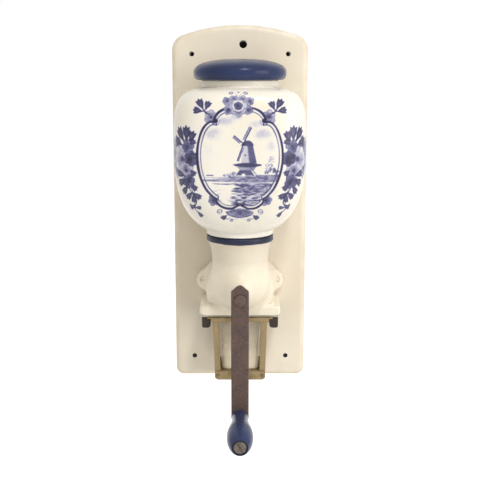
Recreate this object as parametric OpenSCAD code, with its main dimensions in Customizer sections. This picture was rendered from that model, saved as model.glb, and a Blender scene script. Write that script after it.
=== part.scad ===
// Wall mounted coffee mill: wooden back board, ceramic hopper jar, cast iron grinder
// with a front crank, and a glass cup in a sheet brass holder that slides on two rails.
// Millimetres. +Z is up and the viewer stands at -Y. The origin is the centre of the
// four wall screws, on the back face of the board. A depth is measured from the wall
// towards the viewer, so a depth d lies at Y = -d.

/* [Back board] */
// Width of the board
board_w = 130; // [124:1:150]
// Height of the board at its crown
board_h = 348; // [340:1:380]
// Thickness of the board
board_t = 18; // [15:0.5:24]
// Radius of the arched top edge
board_arch_r = 165; // [130:5:260]
// Radius of the two top corners
board_top_r = 15; // [8:1:20]
// Radius of the two bottom corners
board_bottom_r = 8; // [6:1:14]
// Radius of the rounded front edge
board_edge_r = 5; // [2:0.5:5.5]
// Distance between the wall screw holes, across
wall_dx = 92; // [80:1:104]
// Height of the lower wall screw holes above the bottom edge
wall_below = 21; // [12:1:30]
// Distance of the upper wall screw holes under the crown
wall_above = 27; // [22:1:34]
// Diameter of the wall screw holes
wall_hole_d = 4.4; // [3.5:0.1:6]
// Diameter of the hanging hole
hang_d = 7; // [5:0.5:10]
// Sideways place of the hanging hole
hang_x = 3; // [-12:1:12]
// Height of the hanging hole above the upper wall screw holes
hang_above = 9; // [6:1:12]

/* [Hopper jar] */
// Width of the jar at its belly
jar_w = 119; // [105:1:124]
// Height from the foot to the shoulder
jar_h = 132.2; // [115:0.2:140]
// Height of the belly above the foot
jar_belly = 76.2; // [60:0.2:85]
// Distance from the board to the throat axis
jar_reach = 48; // [46:0.5:54]
// Depth taken off the round back where the jar lies on the board
jar_flat = 2; // [1:0.5:4]
// Radius of the round foot
jar_foot_r = 31; // [29:0.5:34]
// Height of the straight foot
jar_foot_h = 4; // [2:0.5:6]
// Radius of the hole in the foot
jar_hole_r = 24.5; // [22:0.5:26]
// Radius at the top of the shoulder
jar_shoulder_r = 43; // [40:0.5:47]
// Outside radius of the round neck
neck_r = 35; // [33:0.5:38]
// Height of the rim above the shoulder
neck_h = 8; // [6:0.5:12]
// Thickness of the ceramic
jar_wall = 4.5; // [3.5:0.5:6]
// Squareness of the belly seen from above
jar_square = 3.8; // [2.4:0.1:5]
// Fullness of the shoulder
shoulder_full = 4.7; // [3:0.1:5.2]
// Fullness of the lower half
lower_full = 2.5; // [2.1:0.1:3.2]
// Height of the jar screw above the foot
jar_screw_up = 85; // [70:1:95]
// Thickness of the felt ring under the foot
gasket_t = 1; // [0.6:0.1:2]

/* [Lid] */
// Largest radius of the lid
lid_r = 41.9; // [39.5:0.1:46]
// Height of the lid above the rim
lid_h = 18.5; // [14:0.5:26]
// Height of the widest line above the rim
lid_edge_h = 6; // [4:0.5:9]
// Radius of the flat underside
lid_seat_r = 38; // [36:0.5:39]
// Depth of the plug in the neck
plug_h = 7; // [5:0.5:12]
// Radial gap between the plug and the neck
plug_gap = 0.7; // [0.4:0.1:1.5]

/* [Mill casting] */
// Height of the crank shaft over the centre of the wall screws
shaft_z = -63; // [-68:1:-58]
// Height of the collar over the shaft
collar_up = 48.1; // [46:0.1:56]
// Radius of the collar under the jar
collar_r = 30.9; // [29:0.1:34]
// Height of the collar
collar_h = 5.4; // [5:0.2:9]
// Least radius of the throat
throat_r = 26.1; // [25.5:0.1:28.5]
// Radius of the rear housing
housing_r = 31.2; // [30.8:0.1:33]
// Radius of the burr bore
bore_r = 23.5; // [23:0.1:24.5]
// Width of the flange
flange_w = 76.8; // [74:0.2:80]
// Distance from the shaft down to the flange face
flange_down = 31.6; // [31:0.2:36]
// Thickness of the flange
flange_h = 9; // [7:0.5:10]
// Distance from the board to the front of the flange
flange_reach = 48; // [47:0.5:52]
// Distance between the ear screws
ear_dx = 71; // [70:0.5:76]
// Distance of the ear screws under the shaft
ear_down = 5.4; // [2:0.1:7]
// Radius of an ear
ear_r = 9; // [7.5:0.25:9.5]
// Thickness of an ear
ear_t = 9; // [7:0.5:11]
// Radius of the hub
hub_r = 8.2; // [8.2:0.1:10]

/* [Grinder] */
// Diameter of the shaft
shaft_d = 8; // [7.5:0.25:8.5]
// Wall of the bronze bushes
bush_wall = 1.7; // [1.4:0.05:2]
// Thickness of the rear bearing plate
rear_plate_t = 3; // [2.5:0.1:3.5]
// Length of the rear bearing
rear_bearing_len = 9; // [7:0.5:10]
// Distance from the board to the rear of the ring burr
ring_rear = 24; // [20:0.5:26]
// Length of the ring burr
ring_len = 18; // [15:0.5:19]
// Small radius of the ring burr's cone
ring_r_small = 13.6; // [13:0.1:14.5]
// Large radius of the ring burr's cone
ring_r_large = 17.5; // [17:0.1:18]
// Running gap between the burrs
burr_gap = 0.5; // [0.4:0.05:0.8]
// Number of teeth on the burrs
burr_teeth = 18; // [12:1:24]
// Length of the feed cone in front of the burrs
feed_len = 20; // [16:0.5:22]
// Wire diameter of the burr spring
spring_wire = 1.2; // [0.8:0.1:1.4]
// Number of turns of the burr spring
spring_turns = 4; // [3:1:4]

/* [Crank] */
// Distance from the jar to the crank arm
crank_clear = 8; // [6:0.5:14]
// Space on the shaft for the washer and the adjusting nut
nut_room = 12; // [11:0.5:14]
// Width across the flats of the adjusting nut
nut_flats = 13; // [12.5:0.25:16]
// Height of the adjusting nut
nut_h = 7; // [5:0.5:7.5]
// Distance from the shaft to the knob
crank_r = 108; // [95:1:115]
// Width of the arm
arm_w = 15.7; // [14:0.1:17]
// Thickness of the arm
arm_t = 4.5; // [4:0.1:6]
// Length of the arm above the shaft
arm_tip = 13; // [11:0.5:16]
// Diameter of the domed nut on the shaft end
dome_d = 10.6; // [10:0.2:13]
// Height of the domed nut
dome_h = 3.4; // [3.2:0.2:6]

/* [Knob] */
// Length of the knob
knob_len = 64.5; // [50:0.5:70]
// Radius of the knob's neck
knob_neck_r = 7.3; // [6.5:0.1:8]
// Radius of the knob's belly
knob_belly_r = 11.3; // [10.5:0.1:13]
// Radius of the knob's flat end
knob_end_r = 6.9; // [6.8:0.1:8]
// Place of the belly along the knob
knob_belly_at = 0.64; // [0.5:0.01:0.75]
// Diameter of the screw that carries the knob
knob_pin_d = 6.4; // [5.4:0.1:7]
// Diameter of that screw's head
knob_head_d = 10.9; // [10:0.1:11.4]
// Height of that screw's head
knob_head_h = 3; // [2.4:0.1:4]

/* [Cup and holder] */
// Thickness of the base plate
base_t = 1.6; // [1.2:0.1:2]
// Outside width over the rails
rails_w = 72.6; // [71:0.2:73.6]
// Width of a rail at its ledge
rail_w = 8.2; // [7.4:0.1:9]
// Height of a rail
rail_h = 10.8; // [9:0.2:12]
// Width of the ledge on a rail
ledge_w = 3.4; // [2.8:0.1:3.6]
// Thickness of the brass sheet
sheet_t = 1.2; // [0.8:0.1:1.4]
// Height of the turned down lip of the top plate
plate_lip_h = 4.2; // [3.4:0.2:6]
// Outside width of the holder at its top
holder_top_w = 52; // [50.6:0.2:53]
// Outside width of the holder at its tray
holder_tray_w = 48.4; // [47.6:0.2:50]
// Width of the front flanges
strap_w = 5.5; // [5.4:0.1:5.8]
// Border of the holder's sides round their windows
side_border = 7; // [6:0.5:9]
// Height from the tray to the top plate
holder_h = 52; // [48:0.5:58]
// Height of the tray's turned down lip
tray_lip_h = 8.4; // [7:0.2:11]
// Outside width of the glass at its mouth
cup_top_w = 41.8; // [41.4:0.1:43]
// Outside width of the glass at its foot
cup_foot_w = 34; // [32:0.5:37]
// Thickness of the glass wall
cup_wall = 2.4; // [1.8:0.1:3.2]
// Thickness of the glass floor
cup_floor = 4.5; // [3:0.5:7]
// Gap between the glass and the top plate
cup_gap = 1.6; // [1:0.1:3]

/* [Fits] */
// Radial running clearance of shaft, knob and nut
run_gap = 0.06; // [0.03:0.01:0.1]
// Clearance of parts that are fixed in a hole
seat_gap = 0.03; // [0.02:0.01:0.06]
// Clearance of parts that slide
slide_gap = 0.3; // [0.25:0.05:0.4]
// Face clearance beside turning parts
face_gap = 0.1; // [0.05:0.05:0.2]

/* [Hidden] */
$fn = 96;
over = 1;
ring_points = 48;

// Places along the depth and the height that several pieces share
front_d = board_t;
wall_dz = board_h - wall_below - wall_above;
bottom_z = -wall_dz / 2 - wall_below;
top_z = bottom_z + board_h;
arch_z = top_z - board_arch_r;
corner_x = board_w / 2 - board_top_r;
corner_z = arch_z + sqrt(pow(board_arch_r - board_top_r, 2) - pow(corner_x, 2));
corner_a = atan2(corner_z - arch_z, corner_x);
foot_x = board_w / 2 - board_bottom_r;
throat_d = front_d + jar_reach;
collar_z = shaft_z + collar_up;
foot_z = collar_z + gasket_t;
belly_z = foot_z + jar_belly;
shoulder_z = foot_z + jar_h;
rim_z = shoulder_z + neck_h;
neck_bore_r = neck_r - jar_wall;
jar_half_w = jar_w / 2;
jar_half_d = jar_reach + jar_flat;
jar_front_d = throat_d + jar_half_d;
arm_back_d = jar_front_d + crank_clear;
arm_front_d = arm_back_d + arm_t;
hub_d = arm_back_d - nut_room;
flange_z = shaft_z - flange_down;
flange_d = front_d + flange_reach;

// Round front of the casting under the throat
throat_low = 21.3;
front_r = 28.5;
front_up = 6;

// Grinder places along the shaft
shaft_r = shaft_d / 2;
bush_bore_r = shaft_r + run_gap;
bush_r = bush_bore_r + bush_wall;
bush_seat_r = bush_r + seat_gap;
plate_recess = 0.2;
rear_plate_r = housing_r - 2.2;
rear_plate_d = front_d + plate_recess;
rear_land_d = rear_plate_d + rear_plate_t;
rear_screw_r = bore_r + 2.4;
rear_boss_wall = 3.5;
rear_boss_r = bush_r + rear_boss_wall;
ring_rear_d = front_d + ring_rear;
ring_front_d = ring_rear_d + ring_len;
ring_screw_r = (ring_r_large + bore_r) / 2 + 0.1;
ring_screw_angles = [20, 160];
rear_screw_angles = [-90, 30, 150];
screw_tip = 8;
feed_front_d = ring_front_d + feed_len;
cavity_r = 18;
cavity_back = 24;
cavity_d = hub_d - cavity_back;
cavity_end_r = 9;
front_bearing_len = 20;
spring_seat_d = hub_d - front_bearing_len;
spring_r = shaft_r + slide_gap + 0.9 + spring_wire / 2;
spring_room_r = spring_r + spring_wire / 2 + 1.2;
square_w = shaft_d * 0.7;
stud_r = 2.4;
stud_len = 2.8;
washer_t = 1.5;
feed_r0 = ring_r_small - burr_gap - 0.6;
feed_r1 = spring_r + 1.6;
pin_r = 1.5;
pin_d = ring_front_d + feed_len / 2;

// The slot behind the ring burr where the ground coffee drops
chute_half_w = 13;
chute_d0 = rear_land_d + 2;
chute_d1 = ring_rear_d - 1;

// Knob places
knob_z = shaft_z - crank_r;
knob_pin_r = knob_pin_d / 2;
knob_washer_t = 1;
knob_base_d = arm_front_d + knob_washer_t + face_gap;
knob_tip_d = knob_base_d + knob_len;
knob_sink = 2.6;
pin_rivet_h = 1.4;
pin_rivet_r = 4.4;
pin_neck_r = knob_pin_r - 0.7;

// Holder and cup places
rail_outer = rails_w / 2;
rail_ledge_x = rail_outer - rail_w;
rail_web_x = rail_ledge_x + ledge_w;
rail_screw_x = (rail_web_x + rail_outer) / 2 - 0.2;
rail_top_z = flange_z - base_t;
slot_h = sheet_t + 0.1 + slide_gap;
rail_ledge_z = rail_top_z - slot_h;
rail_bottom_z = rail_top_z - rail_h;
rail_round = 2;
rail_tip = 3;
rail_front_d = flange_d - 2;
rail_rear_d = front_d + 2;
rail_screw_d = [rail_rear_d + 8, rail_front_d - 8];
plate_z = rail_ledge_z + 0.1;
holder_rear_d = front_d + 3;
holder_front_d = flange_d;
tray_z = plate_z - holder_h;
tray_front_d = holder_front_d + sheet_t;
cup_d = holder_front_d - sheet_t - slide_gap - cup_top_w / 2;
cup_top_z = plate_z - cup_gap;
cup_half = cup_top_w / 2;
mouth_half = cup_half - cup_wall;
plate_half_w = rail_web_x - slide_gap;
lip_half_w = rail_ledge_x - slide_gap;
side_top_x = holder_top_w / 2;
side_foot_x = holder_tray_w / 2;
tab_w = 4;
strap_foot_z = tray_z - tray_lip_h + 1.4;

// Rivets of the holder
rivet_r = 1.2;
rivet_head_r = 2.1;
rivet_head_h = 0.8;
rivet_back_r = 1.7;
rivet_back_h = 0.5;
top_rivet_x = side_top_x - sheet_t - tab_w / 2;
top_rivet_d = [holder_rear_d + 6, holder_front_d - 8];
tray_rivet_x = side_foot_x - strap_w / 2;
tray_rivet_z = tray_z - tray_lip_h / 2;

// Wood screws and machine screws
screw_shank_r = 2.1;
screw_bite = 13;
ear_x = ear_dx / 2;
ear_z = shaft_z - ear_down;
ear_front_d = front_d + ear_t;
ear_head_r = 4.4;
ear_head_h = 2.6;
jar_screw_z = foot_z + jar_screw_up;
jar_washer_t = 1.2;
small_screw_r = 1.5;
small_head_r = 2.7;
small_head_h = 1.5;
rail_head_r = 1.8;
rail_head_h = 2;
rail_hole_short = 2.5;
rail_screw_h = rail_h + base_t + flange_h - rail_hole_short - 1;
slot_w = 1;

// Extrudes an outline drawn in X and Z between two depths
module slab(d0, d1) {
    translate([0, -d0, 0])
        rotate([90, 0, 0])
            linear_extrude(d1 - d0)
                children();
}

// Turns a profile of radius and depth about the shaft direction at a given height
module turned(z, x = 0) {
    translate([x, 0, z])
        rotate([90, 0, 0])
            rotate_extrude()
                children();
}

// A plain rod along the depth
module rod(r, d0, d1, z, x = 0) {
    translate([x, -d0, z])
        rotate([90, 0, 0])
            cylinder(r = r, h = d1 - d0);
}

// A cone along the depth
module taper(r0, r1, d0, d1, z, x = 0) {
    translate([x, -d0, z])
        rotate([90, 0, 0])
            cylinder(r1 = r0, r2 = r1, h = d1 - d0);
}

// A square edged tube along the depth
module tube(r_in, r_out, d0, d1, z, x = 0) {
    difference() {
        rod(r_out, d0, d1, z, x);
        rod(r_in, d0 - over, d1 + over, z, x);
    }
}

// Points of an arc, from one angle to another
function arc(c, r, a0, a1, steps) =
    [for (i = [0 : steps]) let (a = a0 + (a1 - a0) * i / steps) c + r * [cos(a), sin(a)]];

// Side faces between rings of equal size; the last ring joins the first one if it loops
function ring_faces(k, m, loop) =
    [for (i = [0 : k - (loop ? 1 : 2)])
        for (j = [0 : m - 1])
            let (a = i * m + j, b = i * m + (j + 1) % m)
            let (c = ((i + 1) % k) * m + (j + 1) % m, d = ((i + 1) % k) * m + j)
            each [[a, c, b], [a, d, c]]];

// A closed skin over a loop of rings, such as an open vessel with its inside wall
module vessel(rings) {
    polyhedron([for (r = rings) each r], ring_faces(len(rings), len(rings[0]), true));
}

// A closed skin over a row of rings with a flat cap on either end
module loft(rings) {
    k = len(rings);
    m = len(rings[0]);
    caps = [[for (j = [0 : m - 1]) j], [for (j = [m - 1 : -1 : 0]) (k - 1) * m + j]];
    polyhedron([for (r = rings) each r], concat(ring_faces(k, m, false), caps));
}

// One ring of a rounded square: half width, half depth, squareness and height
function square_ring(a, b, n, z, d, back) =
    [for (i = [0 : ring_points - 1])
        let (t = 360 * i / ring_points, c = cos(t), s = sin(t))
        [a * sign(c) * pow(abs(c), 2 / n), min(b * sign(s) * pow(abs(s), 2 / n), back) - d, z]];

// Back board: arched outline, drawn in by an inset for the rounded front edge
function board_outline(inset) = concat(
    arc([foot_x, bottom_z + board_bottom_r], board_bottom_r - inset, -90, 0, 6),
    arc([corner_x, corner_z], board_top_r - inset, 0, corner_a, 6),
    arc([0, arch_z], board_arch_r - inset, corner_a + 1, 179 - corner_a, 14),
    arc([-corner_x, corner_z], board_top_r - inset, 180 - corner_a, 180, 6),
    arc([-foot_x, bottom_z + board_bottom_r], board_bottom_r - inset, 180, 270, 6));
function board_ring(inset, d) = [for (p = board_outline(inset)) [p[0], -d, p[1]]];

module back_board() {
    edge_steps = 4;
    rings = concat([board_ring(0, 0)],
        [for (i = [0 : edge_steps])
            let (a = 90 * i / edge_steps)
            board_ring(board_edge_r * (1 - cos(a)), board_t - board_edge_r * (1 - sin(a)))]);
    color("ivory") difference() {
        loft(rings);
        for (x = [-1, 1], z = [-1, 1])
            rod(wall_hole_d / 2, -over, board_t + over, z * wall_dz / 2, x * wall_dx / 2);
        rod(hang_d / 2, -over, board_t + over, wall_dz / 2 + hang_above, hang_x);
        for (x = [-ear_x, ear_x])
            rod(screw_shank_r + seat_gap, front_d - screw_bite, board_t + over, ear_z, x);
        rod(screw_shank_r + seat_gap, front_d - screw_bite, board_t + over, jar_screw_z);
    }
}

// Hopper jar: superellipse halves above and below the belly, round at the foot and the neck
function jar_ring(w, z, round_r, half_w, half_d, back) =
    let (k = max(0, (w - round_r) / (half_w - round_r)))
    let (b = w <= round_r ? w : round_r + k * (half_d - round_r))
    square_ring(w, b, 2 + (jar_square - 2) * k, z, throat_d, back);
function curve_end(r, half_w, full) = acos(pow(r / half_w, full / 2));
function curve_w(a, half_w, full) = half_w * pow(cos(a), 2 / full);
function curve_z(a, height, full) = height * pow(sin(a), 2 / full);

module hopper_jar() {
    low_end = curve_end(jar_foot_r, jar_half_w, lower_full);
    low_h = (jar_belly - jar_foot_h) / pow(sin(low_end), 2 / lower_full);
    up_end = curve_end(jar_shoulder_r, jar_half_w, shoulder_full);
    up_h = (jar_h - jar_belly) / pow(sin(up_end), 2 / shoulder_full);
    in_w = jar_half_w - jar_wall;
    in_d = jar_half_d - jar_wall;
    in_low_end = curve_end(jar_hole_r, in_w, lower_full);
    in_up_end = curve_end(neck_bore_r, in_w, shoulder_full);
    steps = 8;
    rim_round = 1.2;
    outer = concat(
        [square_ring(jar_foot_r, jar_foot_r, 2, foot_z, throat_d, jar_reach)],
        [for (i = [steps : -1 : 1])
            let (a = low_end * i / steps)
            jar_ring(curve_w(a, jar_half_w, lower_full), belly_z - curve_z(a, low_h, lower_full),
                jar_foot_r, jar_half_w, jar_half_d, jar_reach)],
        [for (i = [0 : steps])
            let (a = up_end * i / steps)
            jar_ring(curve_w(a, jar_half_w, shoulder_full), belly_z + curve_z(a, up_h, shoulder_full),
                neck_r, jar_half_w, jar_half_d, jar_reach)]);
    neck = [for (p = [[neck_r + 2, shoulder_z + 1.6], [neck_r, shoulder_z + 3.4],
                      [neck_r, rim_z - rim_round], [neck_r - rim_round, rim_z],
                      [neck_bore_r + rim_round, rim_z], [neck_bore_r, rim_z - rim_round]])
        square_ring(p[0], p[0], 2, p[1], throat_d, jar_reach)];
    inner = concat(
        [for (i = [steps : -1 : 1])
            let (a = in_up_end * i / steps)
            jar_ring(curve_w(a, in_w, shoulder_full), belly_z + curve_z(a, up_h - jar_wall, shoulder_full),
                neck_bore_r, in_w, in_d, jar_reach - jar_wall)],
        [for (i = [0 : steps])
            let (a = in_low_end * i / steps)
            jar_ring(curve_w(a, in_w, lower_full), belly_z - curve_z(a, low_h - jar_wall, lower_full),
                jar_hole_r, in_w, in_d, jar_reach - jar_wall)]);
    foot = [square_ring(jar_hole_r, jar_hole_r, 2, foot_z, throat_d, jar_reach)];
    color("white") difference() {
        vessel(concat(outer, neck, inner, foot));
        rod(screw_shank_r + 0.3, front_d - over, front_d + jar_wall + over, jar_screw_z);
    }
}

module jar_felt_ring() {
    color("darkslateblue") translate([0, -throat_d, collar_z]) difference() {
        cylinder(r = min(jar_foot_r, collar_r) - 1.2, h = gasket_t);
        translate([0, 0, -over])
            cylinder(r = jar_hole_r, h = gasket_t + 2 * over);
    }
}

// A round headed wood screw that points at the wall, with its seat at depth d
module wood_screw(d, x, z, head_r, head_h, turn) {
    tip_d = front_d - screw_bite + 1;
    difference() {
        union() {
            rod(screw_shank_r, tip_d + 3, d + 0.5, z, x);
            taper(0.6, screw_shank_r, tip_d, tip_d + 3, z, x);
            turned(z, x)
                polygon(concat([[0, d], [head_r, d]],
                    [for (a = [15 : 15 : 90]) [head_r * cos(a), d + 0.6 + (head_h - 0.6) * sin(a)]]));
        }
        translate([x, -d - head_h, z])
            rotate([0, turn, 0])
                cube([3 * head_r, 1.6, slot_w], center = true);
    }
}

module jar_screw() {
    color("dimgray")
        wood_screw(front_d + jar_wall + jar_washer_t, 0, jar_screw_z, 4.2, 2.4, 0);
}

module jar_washer() {
    color("saddlebrown")
        tube(screw_shank_r + 0.2, 7, front_d + jar_wall, front_d + jar_wall + jar_washer_t, jar_screw_z);
}

// Lid: a plug in the neck, a flat seat on the rim and a low dome
module lid() {
    dome_h_lid = lid_h - lid_edge_h;
    dome_full = 2.5;
    plug_r = neck_bore_r - plug_gap;
    color("slateblue") translate([0, -throat_d, rim_z]) rotate_extrude()
        polygon(concat([[0, -plug_h], [plug_r - 1, -plug_h], [plug_r, 1 - plug_h], [plug_r, 0]],
            [for (a = [-90 : 15 : 0])
                [lid_seat_r + (lid_r - lid_seat_r) * cos(a), lid_edge_h * (1 + sin(a))]],
            [for (a = [7.5 : 7.5 : 90])
                [curve_w(a, lid_r, dome_full), lid_edge_h + curve_z(a, dome_h_lid, dome_full)]]));
}

// Casting: throat and round front, nose with its hub, rear housing, flange and two ears
module throat_column() {
    low_z = shaft_z + throat_low;
    ball_z = shaft_z + front_up;
    ball_a = acos(throat_r / (front_r + 0.01));
    neck_top = collar_z - collar_h;
    translate([0, -throat_d, 0]) rotate_extrude()
        polygon(concat([[0, collar_z], [collar_r - 0.8, collar_z], [collar_r, collar_z - 0.8],
                        [collar_r, neck_top]],
            [for (i = [1 : 8])
                let (u = i / 8)
                [throat_r + (collar_r - throat_r - 0.6) * pow(1 - u, 2.6), neck_top + (low_z - neck_top) * u]],
            [for (a = [ball_a : -8 : -84]) [front_r * cos(a), ball_z + front_r * sin(a)]],
            [[0, ball_z - front_r]]));
}

module nose() {
    root_d = throat_d + 10;
    root_r = 20;
    run = hub_d - 12 - root_d;
    turned(shaft_z)
        polygon(concat([[0, root_d - 10], [root_r, root_d - 10]],
            [for (i = [0 : 8])
                let (u = i / 8)
                [hub_r + (root_r - hub_r) * (1 + cos(180 * u)) / 2, root_d + run * u]],
            [[hub_r, hub_d - 1], [hub_r - 1, hub_d], [0, hub_d]]));
}

module rear_housing() {
    edge = 6;
    end_d = ring_front_d + 3.5;
    turned(shaft_z)
        polygon(concat([[0, front_d], [housing_r, front_d]],
            [for (a = [0 : 15 : 90])
                [housing_r - edge * (1 - cos(a)), end_d - edge * (1 - sin(a))]],
            [[0, end_d]]));
}

// Pedestal under the housing: straight sides that sweep out to the flange
module pedestal() {
    side_x = housing_r - 0.7;
    sweep = flange_w / 2 - side_x;
    top_of_flange = flange_z + flange_h;
    slab(front_d, flange_d - 10)
        polygon(concat([[-side_x, shaft_z], [side_x, shaft_z]],
            arc([flange_w / 2, top_of_flange + sweep], sweep, 180, 270, 5),
            [[flange_w / 2, flange_z + 1], [-flange_w / 2, flange_z + 1]],
            arc([-flange_w / 2, top_of_flange + sweep], sweep, 270, 360, 5)));
}

module flange() {
    corner = 6;
    edge = 2.5;
    x = flange_w / 2;
    outline = function (i) concat([[-x + i, -front_d], [-x + i, -flange_d + corner]],
        arc([-x + corner, -flange_d + corner], corner - i, 180, 270, 5),
        arc([x - corner, -flange_d + corner], corner - i, 270, 360, 5),
        [[x - i, -front_d]]);
    translate([0, 0, flange_z])
        linear_extrude(flange_h - edge)
            polygon(outline(0));
    translate([0, 0, flange_z + flange_h - edge - 0.01])
        linear_extrude(edge * 0.6)
            polygon(outline(0.8));
    translate([0, 0, flange_z + flange_h - edge * 0.4 - 0.02])
        linear_extrude(edge * 0.4)
            polygon(outline(2));
}

module ear(side) {
    slab(front_d, ear_front_d) {
        translate([side * ear_x, ear_z])
            circle(r = ear_r);
        polygon([[side * (ear_x + 1), ear_z + ear_r * 0.99], [side * (ear_x + 1), ear_z - ear_r * 0.99],
                 [side * housing_r * 0.6, ear_z - ear_r * 1.1],
                 [side * housing_r * 0.6, ear_z + ear_r * 2]]);
    }
}

module mill_casting() {
    funnel_top_r = jar_hole_r;
    funnel_low_r = 13;
    feed_r = 11.5;
    feed_d = ring_front_d + feed_r + 0.8;
    funnel_z = shaft_z + cavity_r + 12;
    color("cornsilk") difference() {
        union() {
            throat_column();
            nose();
            rear_housing();
            pedestal();
            flange();
            ear(-1);
            ear(1);
        }
        translate([0, -throat_d, funnel_z])
            cylinder(r1 = funnel_low_r, r2 = funnel_top_r, h = collar_z - funnel_z);
        translate([0, -throat_d, collar_z - 0.01])
            cylinder(r = funnel_top_r, h = over);
        translate([0, -feed_d, shaft_z])
            cylinder(r = feed_r, h = funnel_z + 4 - shaft_z);
        rod(bore_r, front_d - over, ring_front_d, shaft_z);
        rod(rear_plate_r + seat_gap, front_d - over, rear_land_d, shaft_z);
        taper(cavity_r, cavity_end_r, ring_front_d - 0.01, cavity_d, shaft_z);
        rod(spring_room_r, cavity_d - over, spring_seat_d, shaft_z);
        rod(bush_seat_r, spring_seat_d - over, hub_d + over, shaft_z);
        for (a = rear_screw_angles)
            rotate_about_shaft(a)
                rod(small_screw_r + seat_gap, rear_land_d - over, rear_land_d + screw_tip,
                    shaft_z, rear_screw_r);
        for (a = ring_screw_angles)
            rotate_about_shaft(a)
                rod(small_screw_r + seat_gap, ring_front_d - over, ring_front_d + 4, shaft_z, ring_screw_r);
        translate([-chute_half_w, -chute_d1, flange_z - over])
            cube([2 * chute_half_w, chute_d1 - chute_d0, flange_down + over]);
        for (x = [-ear_x, ear_x])
            rod(screw_shank_r + seat_gap, front_d - over, ear_front_d + over, ear_z, x);
        for (x = [-rail_screw_x, rail_screw_x], d = rail_screw_d)
            translate([x, -d, flange_z - over])
                cylinder(r = small_screw_r + seat_gap, h = flange_h - rail_hole_short + over);
    }
}

module rotate_about_shaft(a) {
    translate([0, 0, shaft_z])
        rotate([0, a, 0])
            translate([0, 0, -shaft_z])
                children();
}

module casting_screws() {
    color("gainsboro") {
        wood_screw(ear_front_d, -ear_x, ear_z, ear_head_r, ear_head_h, 0);
        wood_screw(ear_front_d, ear_x, ear_z, ear_head_r, ear_head_h, 40);
    }
}

module front_bush() {
    color("peru")
        tube(bush_bore_r, bush_r, spring_seat_d, hub_d, shaft_z);
}

module rear_plate() {
    color("gray") difference() {
        union() {
            rod(rear_plate_r, rear_plate_d, rear_land_d, shaft_z);
            rod(rear_boss_r, rear_land_d - 0.01, rear_plate_d + rear_bearing_len, shaft_z);
        }
        rod(bush_seat_r, rear_plate_d - over, rear_plate_d + rear_bearing_len + over, shaft_z);
        for (a = rear_screw_angles)
            rotate_about_shaft(a) {
                rod(small_screw_r + seat_gap, rear_plate_d - over, rear_land_d + over, shaft_z, rear_screw_r);
                taper(small_head_r + 0.05, small_screw_r, rear_plate_d, rear_plate_d + small_head_h,
                    shaft_z, rear_screw_r);
            }
    }
}

// A countersunk screw that points at the viewer, with its head at depth d
module sunk_screw(d, x, length) {
    difference() {
        union() {
            taper(small_head_r, small_screw_r, d, d + small_head_h, shaft_z, x);
            rod(small_screw_r, d + small_head_h - 0.05, d + length, shaft_z, x);
        }
        translate([x, -d, shaft_z])
            cube([3 * small_head_r, 1.2, 0.8], center = true);
    }
}

module rear_plate_screws() {
    color("dimgray")
        for (a = rear_screw_angles)
            rotate_about_shaft(a)
                sunk_screw(rear_plate_d, rear_screw_r, rear_plate_t + screw_tip - 1);
}

module rear_bush() {
    color("peru")
        tube(bush_bore_r, bush_r, rear_plate_d, rear_plate_d + rear_bearing_len, shaft_z);
}

// Ring burr: a cone bore with straight teeth, held by two screws from behind
module ring_burr() {
    color("slategray") difference() {
        rod(bore_r - seat_gap, ring_rear_d, ring_front_d, shaft_z);
        taper(ring_r_large, ring_r_small, ring_rear_d, ring_front_d, shaft_z);
        rod(ring_r_large, ring_rear_d - over, ring_rear_d + 0.01, shaft_z);
        rod(ring_r_small, ring_front_d - 0.01, ring_front_d + over, shaft_z);
        for (i = [0 : burr_teeth - 1])
            rotate_about_shaft(360 * i / burr_teeth)
                translate([0, -ring_front_d - over, shaft_z - 0.6])
                    cube([(ring_r_small + ring_r_large) / 2 + 0.6, ring_len + 2 * over, 1.2]);
        for (a = ring_screw_angles)
            rotate_about_shaft(a) {
                rod(small_screw_r + seat_gap, ring_rear_d - over, ring_front_d + over, shaft_z, ring_screw_r);
                taper(small_head_r + 0.05, small_screw_r, ring_rear_d, ring_rear_d + small_head_h,
                    shaft_z, ring_screw_r);
            }
    }
}

module ring_burr_screws() {
    color("dimgray")
        for (a = ring_screw_angles)
            rotate_about_shaft(a)
                sunk_screw(ring_rear_d, ring_screw_r, ring_len + 3.5);
}

module drive_shaft() {
    color("silver") difference() {
        union() {
            rod(shaft_r, rear_plate_d + 1, arm_back_d, shaft_z);
            slab(arm_back_d - 0.01, arm_front_d)
                translate([0, shaft_z])
                    square(square_w, center = true);
            rod(stud_r, arm_front_d - 0.01, arm_front_d + stud_len, shaft_z);
        }
        burr_pin_hole(seat_gap);
    }
}

// The cross hole that the burr pin fills
module burr_pin_hole(gap) {
    translate([-feed_r0, -pin_d, shaft_z])
        rotate([0, 90, 0])
            cylinder(r = pin_r + gap, h = 2 * feed_r0);
}

// Cone burr: fine teeth inside the ring and coarse feed flutes in front of it
module cone_burr() {
    cone_small = ring_r_small - burr_gap;
    cone_large = ring_r_large - burr_gap;
    color("slategray") difference() {
        union() {
            taper(cone_large, cone_small, ring_rear_d, ring_front_d, shaft_z);
            taper(feed_r0, feed_r1, ring_front_d - 0.01, feed_front_d, shaft_z);
        }
        rod(shaft_r + seat_gap, ring_rear_d - over, feed_front_d + over, shaft_z);
        for (i = [0 : burr_teeth - 1])
            rotate_about_shaft(360 * (i + 0.5) / burr_teeth)
                translate([cone_small - 1, -ring_front_d + 0.5, shaft_z - 0.5])
                    rotate([0, 0, atan((cone_large - cone_small) / ring_len) * -1])
                        cube([4, ring_len + 2, 1]);
        for (i = [0 : 3])
            rotate_about_shaft(45 + 90 * i)
                rod(4.6, ring_front_d + 1.5, feed_front_d + over, shaft_z, feed_r0 + 1.6);
        burr_pin_hole(seat_gap);
    }
}

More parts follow.
